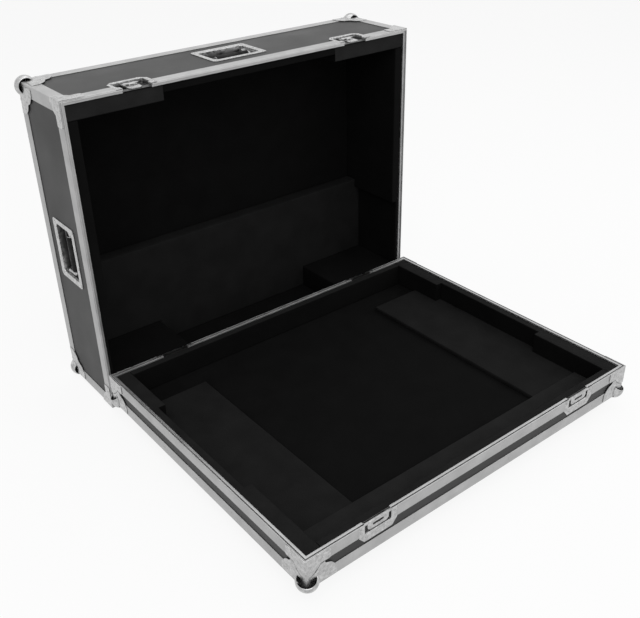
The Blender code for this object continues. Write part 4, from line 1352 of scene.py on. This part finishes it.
@dataclass
class StrikePan(LatchPan):
    """The base's half of a latch: a shallow pan with a catching lip and a keeper loop.

    In millimetres: the flange's, the floor's and the mouth's rows; the lip's bar, which is how far
    it goes past the mouth, its low and high edge and its depth; and the loop's outer and inner
    rectangle with their corners' radii, and its near and far depth.
    """

    length: float = 46 * MM
    end: float = -26 * MM
    end_round: float = 3 * MM
    floor_rows: Vector3 = (-30, -21, -12)
    bar: Box = (0.4, -4.3, -0.3, 4.0)
    keeper: Rows = ((-29, -21.5, 29, -2), (-15, -14, 15, -7.8))
    keeper_rounds: Rows = ((9, 9, 5, 5), (3, 3, 3, 3))
    keeper_depths: Pair = (0.5, 2.0)
    keeper_steps: int = 8
    spots: Rows = (
        (-45, -8), (45, -8), (-44, -24), (44, -24), (-32, -36), (32, -36), (0, -36))

    def face(self) -> Array:
        """The shown face from the plate's foot to the rim.

        Returns:
            The grid, as (rows, columns, 3).
        """
        (half, depth), (flange, floor, mouth) = self.mouth, mm(*self.floor_rows)
        rows = np.concatenate([
            [[-self.length, 0], [flange, 0]], self.wall_rows(self.end, depth, 0.0, 1),
            [[floor, depth], [mouth, depth], [-CASE.seat, depth]]])
        z = rows[:, 0]
        inside = rounded_half(z, self.end, 1.0, half, self.end_round)
        return self.surface(rows, inside, self.edge(z))

    def extras(self, shape: Shape, place: Array) -> None:
        """Add the catching lip, and the loop hung from it between two rounded outlines.

        Args:
            shape: The shape to add to.
            place: The wall's frame.
        """
        past, low, high, deep = mm(*self.bar)
        half = self.mouth[0] + past
        shape.prism(filleted(rectangle(-half, low, half, high), past), 0.0, deep, place)
        outer, inner = (filleted(rectangle(*box) * MM, mm(*radii), self.keeper_steps)
                        for box, radii in zip(self.keeper, self.keeper_rounds))
        near, far = mm(*self.keeper_depths)
        lines = [np.insert(flat, 1, level, axis=1)
                 for flat, level in ((outer, near), (inner, near), (inner, far), (outer, far))]
        shape.grid(placed(np.stack(lines, axis=1), place), wrap=(True, True))


@dataclass
class Latches:
    """The four latches: pans, keys and wings on the lid, and strikes on the base.

    In millimetres: pins are (radius, start, end, drop), barrels (radius, half length), the head
    (radius, height), the lug and the wing's outline flat points, and the lobe its two half axes
    and its centre. Sides are those of the pins, the head and the barrels, and bevels those of the
    pins and the barrels.
    """

    pan: LatchPan = field(default_factory=LatchPan)
    strike: StrikePan = field(default_factory=StrikePan)
    hub_drop: float = 28 * MM
    wing_axis: float = 2.05 * MM
    wing_half: float = 0.85 * MM
    wing_edge: float = 0.3 * MM
    sides: tuple[int, int, int] = (40, 48, 20)
    pins: Rows = ((12, 7.3, 12.2, 0), (3, 4.2, 8, 0), (2.5, 5.0, 8, 8))
    head: Rows = ((0, -4.2), (2.2, -4.25), (6.2, -4.0), (7.3, -3.95), (7.5, -4.1), (7.5, -4.5),
                  (7.3, -4.7), (0, -4.7))
    lug: Rows = ((4.4, 2.2), (0.95, 2.2), (0.95, -2.2), (4.4, -2.2))
    lug_rounds: tuple[float, ...] = (0.1, 1.0, 1.0, 0.1)
    lug_spans: Rows = ((-7, -5), (5, 7))
    wing_top: Rows = ((4.7, 0), (4.7, -2.8), (18.5, -2.8))
    lobe: Rows = ((8, -8.5), (12, -4.3))
    waist: Rows = ((9, -12.4), (5.5, -11.4), (0, -10.9))
    barrels: Rows = ((1.6, 4.7), (0.8, 7.0))
    lobe_steps: int = 11
    bevels: Pair = (0.3, 0.15)

    @staticmethod
    def pin(radius: float, start: float, end: float, bevel: float) -> Array:
        """The profile of a round pin with bevelled ends, from millimetres.

        Args:
            radius: The pin's radius.
            start: The height of its first end.
            end: The height of its other end.
            bevel: The bevel's width.

        Returns:
            (radius, height) of each point, in metres.
        """
        way = math.copysign(bevel, end - start)
        return mm((0, start), (radius - bevel, start), (radius, start + way), (radius, end - way),
                  (radius - bevel, end), (0, end))

    def key(self, place: Array) -> Shape:
        """The turning hub: cam, spindle and pin, a dished head and two lugs for the wing.

        Args:
            place: The hub's frame, which turns about its y axis.

        Returns:
            The shape.
        """
        shape = Shape()
        pin_sides, head_sides, _ = self.sides
        for radius, start, end, drop in self.pins:
            upright = place @ shifted(0, 0, -drop * MM) @ turned("x", QUARTER)
            shape.turned_profile(self.pin(radius, -start, -end, self.bevels[0]), pin_sides, upright)
        shape.turned_profile(mm(*self.head), head_sides, place @ turned("x", QUARTER))
        lug = filleted(np.array(self.lug), self.lug_rounds) * MM
        for start, stop in self.lug_spans:
            shape.prism(lug, start * MM, stop * MM, place @ SWAP_XY)
        return shape

    def wing(self, place: Array) -> Shape:
        """The folding wing: two round lobes with a waist between, on a barrel with pivot stubs.

        Args:
            place: The wing's frame, which folds about its x axis.

        Returns:
            The shape.
        """
        shape = Shape()
        size, centre = np.array(self.lobe)
        lobe = arc(1.0, 0, QUARTER, self.lobe_steps) * size + centre
        right = np.concatenate([self.wing_top, lobe, self.waist])
        outline = np.concatenate([right, right[-2::-1] * np.array([-1, 1])]) * MM
        shape.prism(outline[::-1], -self.wing_half, self.wing_half, place)
        for radius, half in self.barrels:
            profile = self.pin(radius, -half, half, self.bevels[1])
            shape.turned_profile(profile, self.sides[-1], place @ turned("y", QUARTER))
        return shape

    def build(self) -> None:
        """Every latch and strike."""
        for side, high in ((Side.HIGH, True), (Side.LOW, False)):
            for hand, sign in HANDS:
                along, body = sign * CASE.latch_x, f"{Half.LID.end(high)}_{hand}"
                name = f"latch_{body}"
                place = wall_frame(Half.LID, side, along, CASE.lid_height)
                self.pan.press(f"{name}_dish", place, "lid", f"{name}_pan")
                hub = place @ shifted(0, 0, -self.hub_drop)
                self.key(hub).piece(f"{name}_key", BRIGHT, f"{body}_key", [f"{name}_hub"])
                self.wing(hub @ shifted(0, self.wing_axis, 0)).piece(
                    f"{name}_wing_plate", BRIGHT, f"{body}_wing", [f"{name}_wing"], self.wing_edge)
                name = f"strike_{Half.BASE.end(high)}_{hand}"
                place = wall_frame(Half.BASE, side, along, CASE.base_height)
                self.strike.press(f"{name}_dish", place, "base", name)


@dataclass
class SprungHandle(PressedPlate):
    """One handle: a deep dish, a bent rod and a ribbed grip.

    The plate is (half width, half length, corner), and the pan adds its depth. The hinge axis is
    (depth, height), the grip (half length, radius), its swells a count and a power, and its soft
    end (run, fall). Sides are those of the rod, the washers and the grip.
    """

    name: str = "front"
    side: Side = Side.HIGH
    along: float = 0.0
    lip: float = 1.6 * MM
    floor: float = 4.0 * MM
    plate: Vector3 = (81 * MM, 60 * MM, 10 * MM)
    pan: Box = (67 * MM, 44 * MM, 10 * MM, 22 * MM)
    corner_start: float = 0.45
    corner_steps: int = 5
    rim_steps: int = 6
    floor_gap: float = 2.2 * MM
    last_row: float = 15 * MM
    axis: Pair = (10.5 * MM, -32 * MM)
    rod: float = 4 * MM
    rod_end: float = 70.9 * MM
    span: float = 61 * MM
    reach: float = 46 * MM
    bend_round: float = 12 * MM
    heel: float = 5 * MM
    bend_steps: tuple[int, int] = (8, 12)
    grip: Pair = (47.5 * MM, 10.5 * MM)
    grip_steps: int = 121
    swells: tuple[int, float] = (6, 0.35)
    rib_depth: float = 0.9 * MM
    plain_end: float = 6 * MM
    soft_end: Pair = (2.5 * MM, 2.2 * MM)
    washer: Rows = ((4.1, 0), (8.2, 0), (8.6, 0.4), (8.6, 0.8), (8.2, 1.2), (4.1, 1.2))
    washer_gaps: Pair = (-1.4 * MM, 0.2 * MM)
    sides: tuple[int, int, int] = (20, 32, 40)
    rivet_size: Pair = (3.6 * MM, 1.4 * MM)
    # Depths over which the dish's painted shade grows from none to full.
    painted_shade: Pair = (1.5 * MM, 7 * MM)
    spots: Rows = (
        *((x, z) for x in (-73, -26, 26, 73) for z in (-52.5, 52.5)), (-74, 0), (74, 0))

    def face(self) -> Array:
        """The dish's shown face.

        Returns:
            The grid, as (rows, columns, 3).
        """
        half, length, corner, depth = self.pan
        plate_half, plate_length, plate_corner = self.plate
        turn = 1 - np.cos(np.linspace(self.corner_start, 1, self.corner_steps) * QUARTER)
        fall = 1 - np.cos(np.linspace(0, 1, self.rim_steps) * QUARTER)
        rim = plate_length - plate_corner * fall
        flat = length - (corner * turn + self.floor_gap)
        low, high = (self.wall_rows(way * -length, depth, 0.0, way) for way in (1, -1))
        edge, floor = (np.stack([z, np.full(len(z), level)], axis=1)
                       for z, level in ((rim, 0.0), (np.append(flat, self.last_row), depth)))
        flip = np.array([-1, 1])
        rows = np.concatenate([edge * flip, low, floor * flip, floor[::-1], high, edge[::-1]])
        z = rows[:, 0]
        return self.surface(rows, rounded_half(z, -length, length, half, corner),
                            rounded_half(z, -plate_length, plate_length, plate_half, plate_corner))

    def rod_line(self) -> Array:
        """The rod's centre line: two ends on the hinge axis, two arms, and the grip's bar.

        Returns:
            The line's (x, z) in the hinge's frame, as (n, 2).
        """
        heel, bend, (steps, turns) = self.heel, self.bend_round, self.bend_steps
        low = np.array([self.span + heel, heel]) + arc(heel, 1.5 * math.pi, math.pi, steps)
        high = np.array([self.span - bend, self.reach - bend]) + arc(bend, 0, QUARTER, turns)
        first = np.array([(self.rod_end, 0.0), (self.span + heel, 0.0)])
        right = np.concatenate([first, low[1:], high])
        return np.concatenate([right, right[::-1] * np.array([-1, 1])])

    def grip_profile(self) -> Array:
        """Radius and place along the grip: swellings |sin| ** power with grooves, and soft ends.

        Returns:
            (radius, place) of each point, as (n, 2).
        """
        (half, radius), (count, power), (run, fall) = self.grip, self.swells, self.soft_end
        x = np.linspace(-half, half, self.grip_steps)
        wave = np.abs(np.sin((x + half) / (2 * half) * count * math.pi)) ** power
        end = np.clip((half - np.abs(x)) / run, 0, 1)
        groove = self.rib_depth * (1 - wave) * (np.abs(x) < half - self.plain_end)
        r = radius - groove - fall * round_from(1 - end)
        bore = self.rod + CASE.seat
        return np.concatenate([[(bore, -half)], np.stack([r, x], axis=1), [(bore, half)]])

    def build(self) -> None:
        """Dish with rivets, rod and grip."""
        place = wall_frame(Half.LID, self.side, self.along, CASE.lid_height / 2)
        name = f"handle_{self.name}"
        self.press(f"{name}_pressing", place, "lid", f"{name}_dish")
        hinge, body = place @ shifted(0, *self.axis), f"{self.name}_handle"
        rod, sleeve, (rod_sides, washer_sides, grip_sides) = Shape(), Shape(), self.sides
        line, ring = self.rod_line(), arc(self.rod, 0, FULL_TURN, rod_sides)[:-1]
        along = np.gradient(line, axis=0)
        along /= np.linalg.norm(along, axis=1, keepdims=True)
        rod.carried(ring, line, along[:, ::-1] * np.array([-1, 1]), hinge @ SWAP_YZ)
        for sign, gap in zip((-1, 1), self.washer_gaps):
            start = sign * self.grip[0] + gap
            bar = hinge @ shifted(start, 0, self.reach) @ turned("y", QUARTER)
            rod.turned_profile(mm(*self.washer), washer_sides, bar, closed=True)
        rod.piece(f"{name}_rod", ZINC, body, [f"{name}_bail"])
        bar = hinge @ shifted(0, 0, self.reach) @ turned("y", QUARTER)
        sleeve.turned_profile(self.grip_profile(), grip_sides, bar, closed=True)
        sleeve.piece(f"{name}_sleeve", RUBBER, body, [f"{name}_grip"])


@dataclass
class Feet:
    """Four turned rubber feet under the base, each with a screw recess."""

    inset: float = 95 * MM
    sides: int = 48
    sharp: float = 40.0
    profile: Rows = (
        (2.1, 1.5), (21.6, 1.5), (22.0, 1.1), (22.0, -2.2), (21.6, -2.7), (20.0, -34.0),
        (19.2, -37.2), (17.6, -39.2), (15.5, -40.0), (7.0, -40.0), (6.3, -39.7), (6.0, -39.0),
        (6.0, -24.0), (2.1, -24.0))

    def build(self) -> None:
        """One piece for each foot."""
        for end, y in (("front", self.inset), ("rear", CASE.depth - self.inset)):
            for hand, sign in HANDS:
                shape = Shape()
                place = Half.BASE.matrix @ shifted(sign * (CASE.half_width - self.inset), y, 0)
                shape.turned_profile(mm(*self.profile), self.sides, place, closed=True)
                shape.piece(f"rubber_foot_{end}_{hand}", RUBBER, "base", [f"foot_{end}_{hand}"],
                            angle=self.sharp)


@dataclass
class FoamSlab:
    """A cut foam piece: a union of rectangles in its plane, with soft edges and an uneven face.

    The face's height is the slab's top less a quarter circle near the outline, and less uneven *
    (1 + wave) / 2, where the wave is a sum of slow sines. The back has pockets, each (x, y, x, y,
    depth), and where the slab lies past the painted top's start it is marked for the painted light
    on its top face.
    """

    rects: Sequence[Box]
    low: float
    high: float
    seed: int
    soft: float = 2.5 * MM
    uneven: float = 0.5 * MM
    pitch: float = 14 * MM
    pockets: Sequence[Sequence[float]] = ()
    painted_top_from: float | None = None
    edge_shares: tuple[float, ...] = (0, 0.08, 0.3, 0.62, 1.0)
    waves: int = 4
    wave_rates: Pair = (9, 7)
    sharp: float = 60.0

    def _lines(self, axis: int) -> Array:
        """Grid lines along one axis: close to every edge and pocket, and at the pitch between.

        Args:
            axis: 0 for x, 1 for y.

        Returns:
            The lines' places, in order.
        """
        marks = np.array([r[k] for r in self.rects for k in (axis, axis + 2)])
        steps = np.array(self.edge_shares) * self.soft
        near = (marks[:, None] + np.concatenate([-steps[1:], steps])).ravel()
        cuts = [p[k] + s for p in self.pockets for k in (axis, axis + 2) for s in mm(-0.1, 0.1)]
        low, high = marks.min(), marks.max()
        even = np.linspace(low, high, max(2, round((high - low) / self.pitch)) + 1)
        even = even[np.abs(even[:, None] - near).min(1) > self.soft * 0.5]
        lines = np.unique(np.round(np.concatenate([near, even, cuts]), 6))
        return lines[(lines >= low - MERGE) & (lines <= high + MERGE)]

    def _inside(self, x: Array, y: Array) -> Array:
        """Whether points lie in any of the rectangles."""
        return np.any([(x > a) & (x < c) & (y > b) & (y < d) for a, b, c, d in self.rects], axis=0)

    def _distance(self, x: Array, y: Array) -> Array:
        """Distance of grid points to the outline, from the edges of cells with no neighbour.

        Args:
            x: The points' x, on a grid.
            y: Their y.

        Returns:
            The distances, on the same grid.
        """
        xs, ys = (np.unique([r[k] for r in self.rects for k in (a, a + 2)]) for a in (0, 1))
        middles = np.meshgrid((xs[1:] + xs[:-1]) / 2, (ys[1:] + ys[:-1]) / 2, indexing="ij")
        full = np.pad(self._inside(*middles), 1)
        best = np.full(x.shape, 1.0)
        for step, across, along, p, q in ((full, xs, ys, x, y), (full.T, ys, xs, y, x)):
            for i, j in np.argwhere(step[1:, 1:-1] != step[:-1, 1:-1]):
                past = np.clip(np.maximum(along[j] - q, q - along[j + 1]), 0, None)
                best = np.minimum(best, np.hypot(p - across[i], past))
        return best

    def build(self, name: str, finish: Finish, body: str, matrix: Array, node: str) -> None:
        """Args:
            name: The piece's name.
            finish: Its finish.
            body: The body that it rides on.
            matrix: The frame whose x and y span the slab's plane.
            node: The CAD node that it replaces.
        """
        x, y = np.meshgrid(self._lines(0), self._lines(1), indexing="ij")
        away = self._distance(x, y)
        near = np.clip(self.soft - away, 0, self.soft)
        drop = self.soft - np.sqrt(self.soft ** 2 - near ** 2)
        phase = np.random.default_rng(self.seed).uniform(0, FULL_TURN, (self.waves, 2))
        p, q = self.wave_rates
        wave = sum(np.sin(x * k * p + a) * np.sin(y * k * q + b) / k
                   for k, (a, b) in enumerate(phase, 1)) / 2
        inner = np.clip(away / (3 * self.soft), 0, 1)
        top = self.high - drop - self.uneven * (0.5 + 0.5 * np.clip(wave, -1, 1)) * inner
        back = self.low + np.minimum(drop, 0.6 * (self.high - self.low)) * 0.4
        for a, b, c, d, depth in self.pockets:
            back = np.where((x > a) & (x < c) & (y > b) & (y < d), self.low + depth, back)
        points = np.stack([np.stack([x, y, top], -1), np.stack([x, y, back], -1)]).reshape(-1, 3)
        middles = ((v[1:, 1:] + v[:-1, :-1]) / 2 for v in (x, y))
        quad = cells(np.arange(x.size).reshape(x.shape))[self._inside(*middles).ravel()]
        edge = np.concatenate([quad[:, [k, (k + 1) % 4]] for k in range(4)])
        key = np.sort(edge, axis=1) @ np.array([x.size, 1])
        _, first, times = np.unique(key, return_index=True, return_counts=True)
        rim = edge[first[times == 1]]
        wall = np.concatenate([rim[:, ::-1], rim + x.size], axis=1)
        faces = np.concatenate([quad, quad[:, ::-1] + x.size, wall])
        used, faces = np.unique(faces, return_inverse=True)
        shape = Shape()
        shape.add(placed(points[used], matrix), faces.reshape(-1, 4))
        # The mark paints the light or shade that falls on the top face at the rim.
        mark = None if self.painted_top_from is None else ramp_mark(
            "cut", matrix, self.painted_top_from, self.painted_top_from + 0.4 * self.soft)
        item = shape.piece(name, finish, body, [node], angle=self.sharp, mark=mark)


@dataclass
class Lining:
    """What both halves' foam shares: its edges, its sheet, and pieces stood against the walls."""

    half: Half
    sheet_top: float
    top: float
    soft: float
    uneven: float
    edge: float = 10.9 * MM
    floor: float = 9.1 * MM
    seam: float = 0.3 * MM
    # How far down from the top the painted light on the top face reaches.
    painted_top_depth: float = 0.6 * MM

    @property
    def low(self) -> float:
        """Where foam that stands on the sheet starts."""
        return self.sheet_top + self.seam

    @property
    def x_out(self) -> float:
        """Half the width between the side walls."""
        return CASE.half_width - self.edge

    @property
    def y_far(self) -> float:
        """Where the lining ends at the far wall."""
        return CASE.depth - self.edge

    def flat(self, name: str, finish: Finish, rects: Sequence[Box],
             low: float, high: float, seed: int, soft: float, uneven: float, node: str) -> None:
        """A piece that lies on the closed face. Soft and uneven are in millimetres."""
        slab = FoamSlab(rects, low, high, seed, soft * MM, uneven * MM)
        slab.build(name, finish, self.half.value, self.half.matrix, f"{self.half.value}_{node}")

    def upright(self, name: str, finish: Finish, side: Side, start: float, stop: float, deep: float,
                seed: int, pockets: Sequence[Sequence[float]] = ()) -> None:
        """A piece against a wall, from start to stop along it, with its soft face inward.

        Args:
            name: The piece's name.
            finish: Its finish.
            side: The wall.
            start: Where it starts along the wall.
            stop: Where it ends.
            deep: How deep it reaches into the case.
            seed: The seed of its uneven face.
            pockets: Pockets in its back, in the slab's plane.
        """
        place = wall_frame(self.half, side, (start + stop) / 2, 0) @ turned("x", -QUARTER)
        reach, body = (stop - start) / 2, self.half.value
        # Its top face at the rim gets the finish's painted light or shade.
        slab = FoamSlab(((-reach, self.low, reach, self.top),), self.edge, deep, seed, self.soft,
                        self.uneven, pockets=pockets, painted_top_from=self.top - self.painted_top_depth)
        slab.build(name, finish, body, place @ np.diag([1.0, -1.0, 1.0, 1.0]), f"{body}_lining")


@dataclass
class BaseFoam(Lining):
    """The base's foam: sheet, walls, corner blocks, the strip along the front and two pads.

    The side walls' foam runs between the blocks' two ends. The strip is (end, top), and the pad
    (reach from the case's side, top). The pads are wider between the middle two of their ends.
    """

    half: Half = Half.BASE
    sheet_top: float = 13.1 * MM
    top: float = 79 * MM
    soft: float = 2.5 * MM
    uneven: float = 0.5 * MM
    wall: float = 31 * MM
    block: float = 50 * MM
    blocks: Pair = (0.250, 0.620)
    strip: Pair = (0.110, 30 * MM)
    pad: Pair = (0.215, 25.4 * MM)
    pad_ends: tuple[float, ...] = (0.1103, 0.2503, 0.6197, 0.710)

    def build(self) -> None:
        """Every piece, each from its rectangles in the base's frame or in a wall's."""
        self.flat("base_floor_foam", DARK_FOAM, ((-self.x_out, self.edge, self.x_out, self.y_far),),
                  self.floor, self.sheet_top, 1, 1.5, 0.3, "lining")
        seam, inner = self.seam, CASE.half_width - self.block - self.seam
        for side, name in ((Side.LOW, "front"), (Side.HIGH, "rear")):
            self.upright(f"base_{name}_foam", DARK_FOAM, side, -inner, inner, self.wall, 2)
        start, stop = self.blocks
        for side, name in ((Side.LEFT, "left"), (Side.RIGHT, "right")):
            self.upright(f"base_{name}_foam", DARK_FOAM, side, start + seam, stop - seam,
                         self.wall, 3)
            for near, far, end in ((self.edge, start, "front"), (stop, self.y_far, "rear")):
                self.upright(f"base_{end}_{name}_block", DARK_FOAM, side, near, far, self.block, 4)
        strip_end, strip_top = self.strip
        self.flat("base_front_strip", LIT_STRIP_FOAM, ((-inner, self.wall + seam, inner, strip_end),),
                  self.low, strip_top, 5, 3, 0.8, "lining")
        near, wide = CASE.half_width - self.pad[0], CASE.half_width - self.wall - seam
        spans = list(zip((inner, wide, inner), self.pad_ends, self.pad_ends[1:]))
        for name, sign in HANDS:
            rects = [(min(sign * near, sign * reach), first, max(sign * near, sign * reach), last)
                     for reach, first, last in spans]
            self.flat(f"base_{name}_floor_pad", PAD_FOAM, rects, self.low, self.pad[1], 6 + sign,
                      3, 0.8, f"{name}_pad")


@dataclass
class LidFoam(Lining):
    """The lid's foam: panel sheet, top and bottom blocks, side foam and the thick low pad.

    Thicknesses at the top and the foot are (between the blocks, blocks), and a pocket is (half
    width, low, high, depth).
    """

    half: Half = Half.LID
    sheet_top: float = 19.1 * MM
    top: float = 234 * MM
    soft: float = 3 * MM
    uneven: float = 0.8 * MM
    block_start: float = 0.260
    side_ends: Vector3 = (0.085, 0.300, 0.767)
    side_thick: Pair = (20 * MM, 37 * MM)
    top_thick: Pair = (30 * MM, 50 * MM)
    foot_thick: Pair = (20 * MM, 85 * MM)
    pad_top: float = 60.4 * MM
    pad_insets: Vector3 = (0.2553, 20.3 * MM, 37.3 * MM)
    pad_ends: Box = (20.3 * MM, 85.3 * MM, 0.2997, 0.326)
    latch_pocket: tuple[float, ...] = (43.8 * MM, 181.8 * MM, 225.2 * MM, 3.9 * MM)
    handle_pocket: tuple[float, ...] = (72.4 * MM, 72.6 * MM, 165.4 * MM, 13.4 * MM)

    @staticmethod
    def pocket(size: tuple[float, ...], centre: float) -> tuple[float, ...]:
        """A pocket of (half width, low, high, depth) at a place along the wall."""
        half, low, high, depth = size
        return (centre - half, low, centre + half, high, depth)

    def build(self) -> None:
        """Every piece, each from its rectangles in the lid's frame or in a wall's."""
        self.flat("lid_panel_foam", DARK_FOAM, ((-self.x_out, self.edge, self.x_out, self.y_far),),
                  self.floor, self.sheet_top, 11, 2, 0.4, "lining")
        seam, first, last = self.seam, self.block_start, self.x_out
        shift = (first + last) / 2 - CASE.latch_x
        for side, name, (thin, thick), way in ((Side.HIGH, "top", self.top_thick, 1),
                                               (Side.LOW, "foot", self.foot_thick, -1)):
            pockets = [self.pocket(self.handle_pocket, 0.0)] if side is Side.HIGH else []
            self.upright(f"lid_{name}_foam", SIDE_FOAM, side, seam - first, first - seam, thin, 12,
                         pockets)
            for hand, sign in HANDS:
                ends = sorted((sign * (first + seam / 2), sign * (last - seam / 2)))
                pocket = self.pocket(self.latch_pocket, way * sign * shift)
                self.upright(f"lid_{name}_{hand}_block", BLOCK_FOAM, side, *ends, thick, 13 + sign,
                             [pocket])
        start, middle, stop = self.side_ends
        for side, (name, sign) in zip((Side.LEFT, Side.RIGHT), HANDS):
            offset = sign * (CASE.depth - middle - stop) / 2
            self.upright(f"lid_{name}_side_foam", SIDE_FOAM, side, middle + seam, stop - seam,
                         self.side_thick[1], 15, [self.pocket(self.handle_pocket, offset)])
            self.upright(f"lid_{name}_thin_foam", SIDE_FOAM, side, start + seam, middle,
                         self.side_thick[0], 16)
        spans = zip(self.pad_insets, self.pad_ends, self.pad_ends[1:])
        rects = [(inset - CASE.half_width, low, CASE.half_width - inset, high)
                 for inset, low, high in spans]
        self.flat("lid_low_pad", PAD_FOAM, rects, self.low, self.pad_top, 17, 4, 1.2, "pad")


@dataclass
class Boards:
    """The laminate boards and the hooks, which keep their CAD shapes and get their finishes."""

    walls: tuple[str, ...] = ("front_wall", "rear_wall", "left_wall", "right_wall")
    closed: tuple[tuple[Half, str], ...] = ((Half.BASE, "floor"), (Half.LID, "top_panel"))
    hook: str = "_hook"

    def build(self) -> None:
        """Dress every board and hook."""
        for half, panel in self.closed:
            for name in (panel, *self.walls):
                self.dress(f"{half.value}_{name}", LAMINATE)
        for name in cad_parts:
            if name.endswith(self.hook):
                self.dress(name, BRIGHT)

    @staticmethod
    def dress(name: str, finish: Finish) -> None:
        """Give a CAD node a finish.

        Args:
            name: The node's name.
            finish: The finish.
        """
        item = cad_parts[name]
        item.data.materials.clear()
        item.data.materials.append(finish.material())
        LOG.info("%s: %s", name, finish.name)


@dataclass
class Studio:
    """Pale floor, plain soft light and the camera at the photograph's angle."""

    place: Vector3 = (-1.1989, -1.4825, 1.3574)
    tilt: Vector3 = (59.83, 1.23, -38.56)
    lens: float = 48.09
    film: float = 36.0
    near: float = 0.05
    ambient: float = 0.46
    floor_reach: float = 80.0
    floor_grey: float = 0.9
    floor_glow: float = 0.88
    lamps: tuple[tuple[str, Vector3, Vector3, float, float], ...] = (
        ("key", (-1.9, -3.2, 4.0), (45, 0, -31), 4.0, 88.0),
        ("fill", (3.0, -1.8, 2.2), (62, 0, 60), 3.2, 30.0),
        ("top", (0.2, 0.8, 4.2), (-8, 0, 0), 4.5, 50.0),
    )

    @staticmethod
    def seen(net: Net) -> Value:
        """1 for camera, glossy and transmission rays, which see the backdrop as white.

        Args:
            net: The tree.

        Returns:
            The number.
        """
        path = net.node("ShaderNodeLightPath")
        camera, glossy, clear = (Value(net, path.outputs[f"Is {kind} Ray"])
                                 for kind in ("Camera", "Glossy", "Transmission"))
        return (camera + glossy + clear).over(0, 1)

    @staticmethod
    def put(item: bpy.types.Object, place: Vector3, tilt: Vector3) -> None:
        """Place and turn an object, by degrees, and put it in the scene.

        Args:
            item: The object.
            place: Its location.
            tilt: Its rotation in degrees.
        """
        item.location = place
        item.rotation_euler = Euler([math.radians(angle) for angle in tilt])
        bpy.context.scene.collection.objects.link(item)

    def build(self) -> None:
        """World, floor, lamps and camera."""
        scene = bpy.context.scene
        scene.world = bpy.data.worlds.new("studio")
        scene.world.use_nodes = True
        net = Net(scene.world.node_tree)
        colour = net.mix(self.seen(net), grey(self.ambient), grey(1.0))
        shader = net.node("ShaderNodeBackground", None, {"Color": colour, "Strength": 1.0})
        net.node("ShaderNodeOutputWorld", None, {"Surface": shader.outputs[0]})
        self.floor()
        for name, place, tilt, size, power in self.lamps:
            lamp = bpy.data.lights.new(name, "AREA")
            lamp.size, lamp.energy = size, power
            self.put(bpy.data.objects.new(name, lamp), place, tilt)
        lens = bpy.data.cameras.new("camera")
        lens.lens, lens.sensor_width, lens.clip_start = self.lens, self.film, self.near
        scene.camera = bpy.data.objects.new("camera", lens)
        self.put(scene.camera, self.place, self.tilt)
        scene.view_settings.view_transform = "Standard"
        LOG.info("studio: %d lamps", len(self.lamps))

    def floor(self) -> None:
        """A wide flat floor, pale where it isn't in the object's shadow."""
        finish = bpy.data.materials.new("pale floor")
        finish.use_nodes = True
        net = Net(finish.node_tree)
        matt = net.node("ShaderNodeBsdfDiffuse", None, {"Color": grey(self.floor_grey)})
        glow = net.node("ShaderNodeEmission", None, {"Color": grey(1.0), "Strength": 1.0})
        mixed = net.node("ShaderNodeMixShader", None, {
            0: self.seen(net) * self.floor_glow, 1: matt.outputs[0], 2: glow.outputs[0]})
        net.node("ShaderNodeOutputMaterial", None, {"Surface": mixed.outputs[0]})
        mesh = bpy.data.meshes.new("floor")
        reach = self.floor_reach
        corners = np.insert(rectangle(-reach, -reach, reach, reach), 2, 0.0, axis=1)
        mesh.from_pydata(corners.tolist(), [], [(0, 1, 2, 3)])
        mesh.materials.append(finish)
        item = bpy.data.objects.new("floor", mesh)
        bpy.context.scene.collection.objects.link(item)


def main() -> None:
    """Build the case's sub-assemblies in order, then the studio."""
    logging.basicConfig(level=logging.INFO, format="%(name)s: %(message)s")
    Boards().build()
    for half in Half:
        angles = EdgeAngles(half)
        angles.build()
        angles.rivet()
        for part in (RimSection, CornerBraces, BallCorner):
            part(half).build()
    Latches().build()
    middle = CASE.depth / 2
    for name, side, along in (("front", Side.HIGH, 0.0), ("left", Side.LEFT, middle),
                              ("right", Side.RIGHT, middle)):
        SprungHandle(name=name, side=side, along=along).build()
    for assembly in (Feet, BaseFoam, LidFoam, Studio):
        assembly().build()


if __name__ == "__main__":
    main()
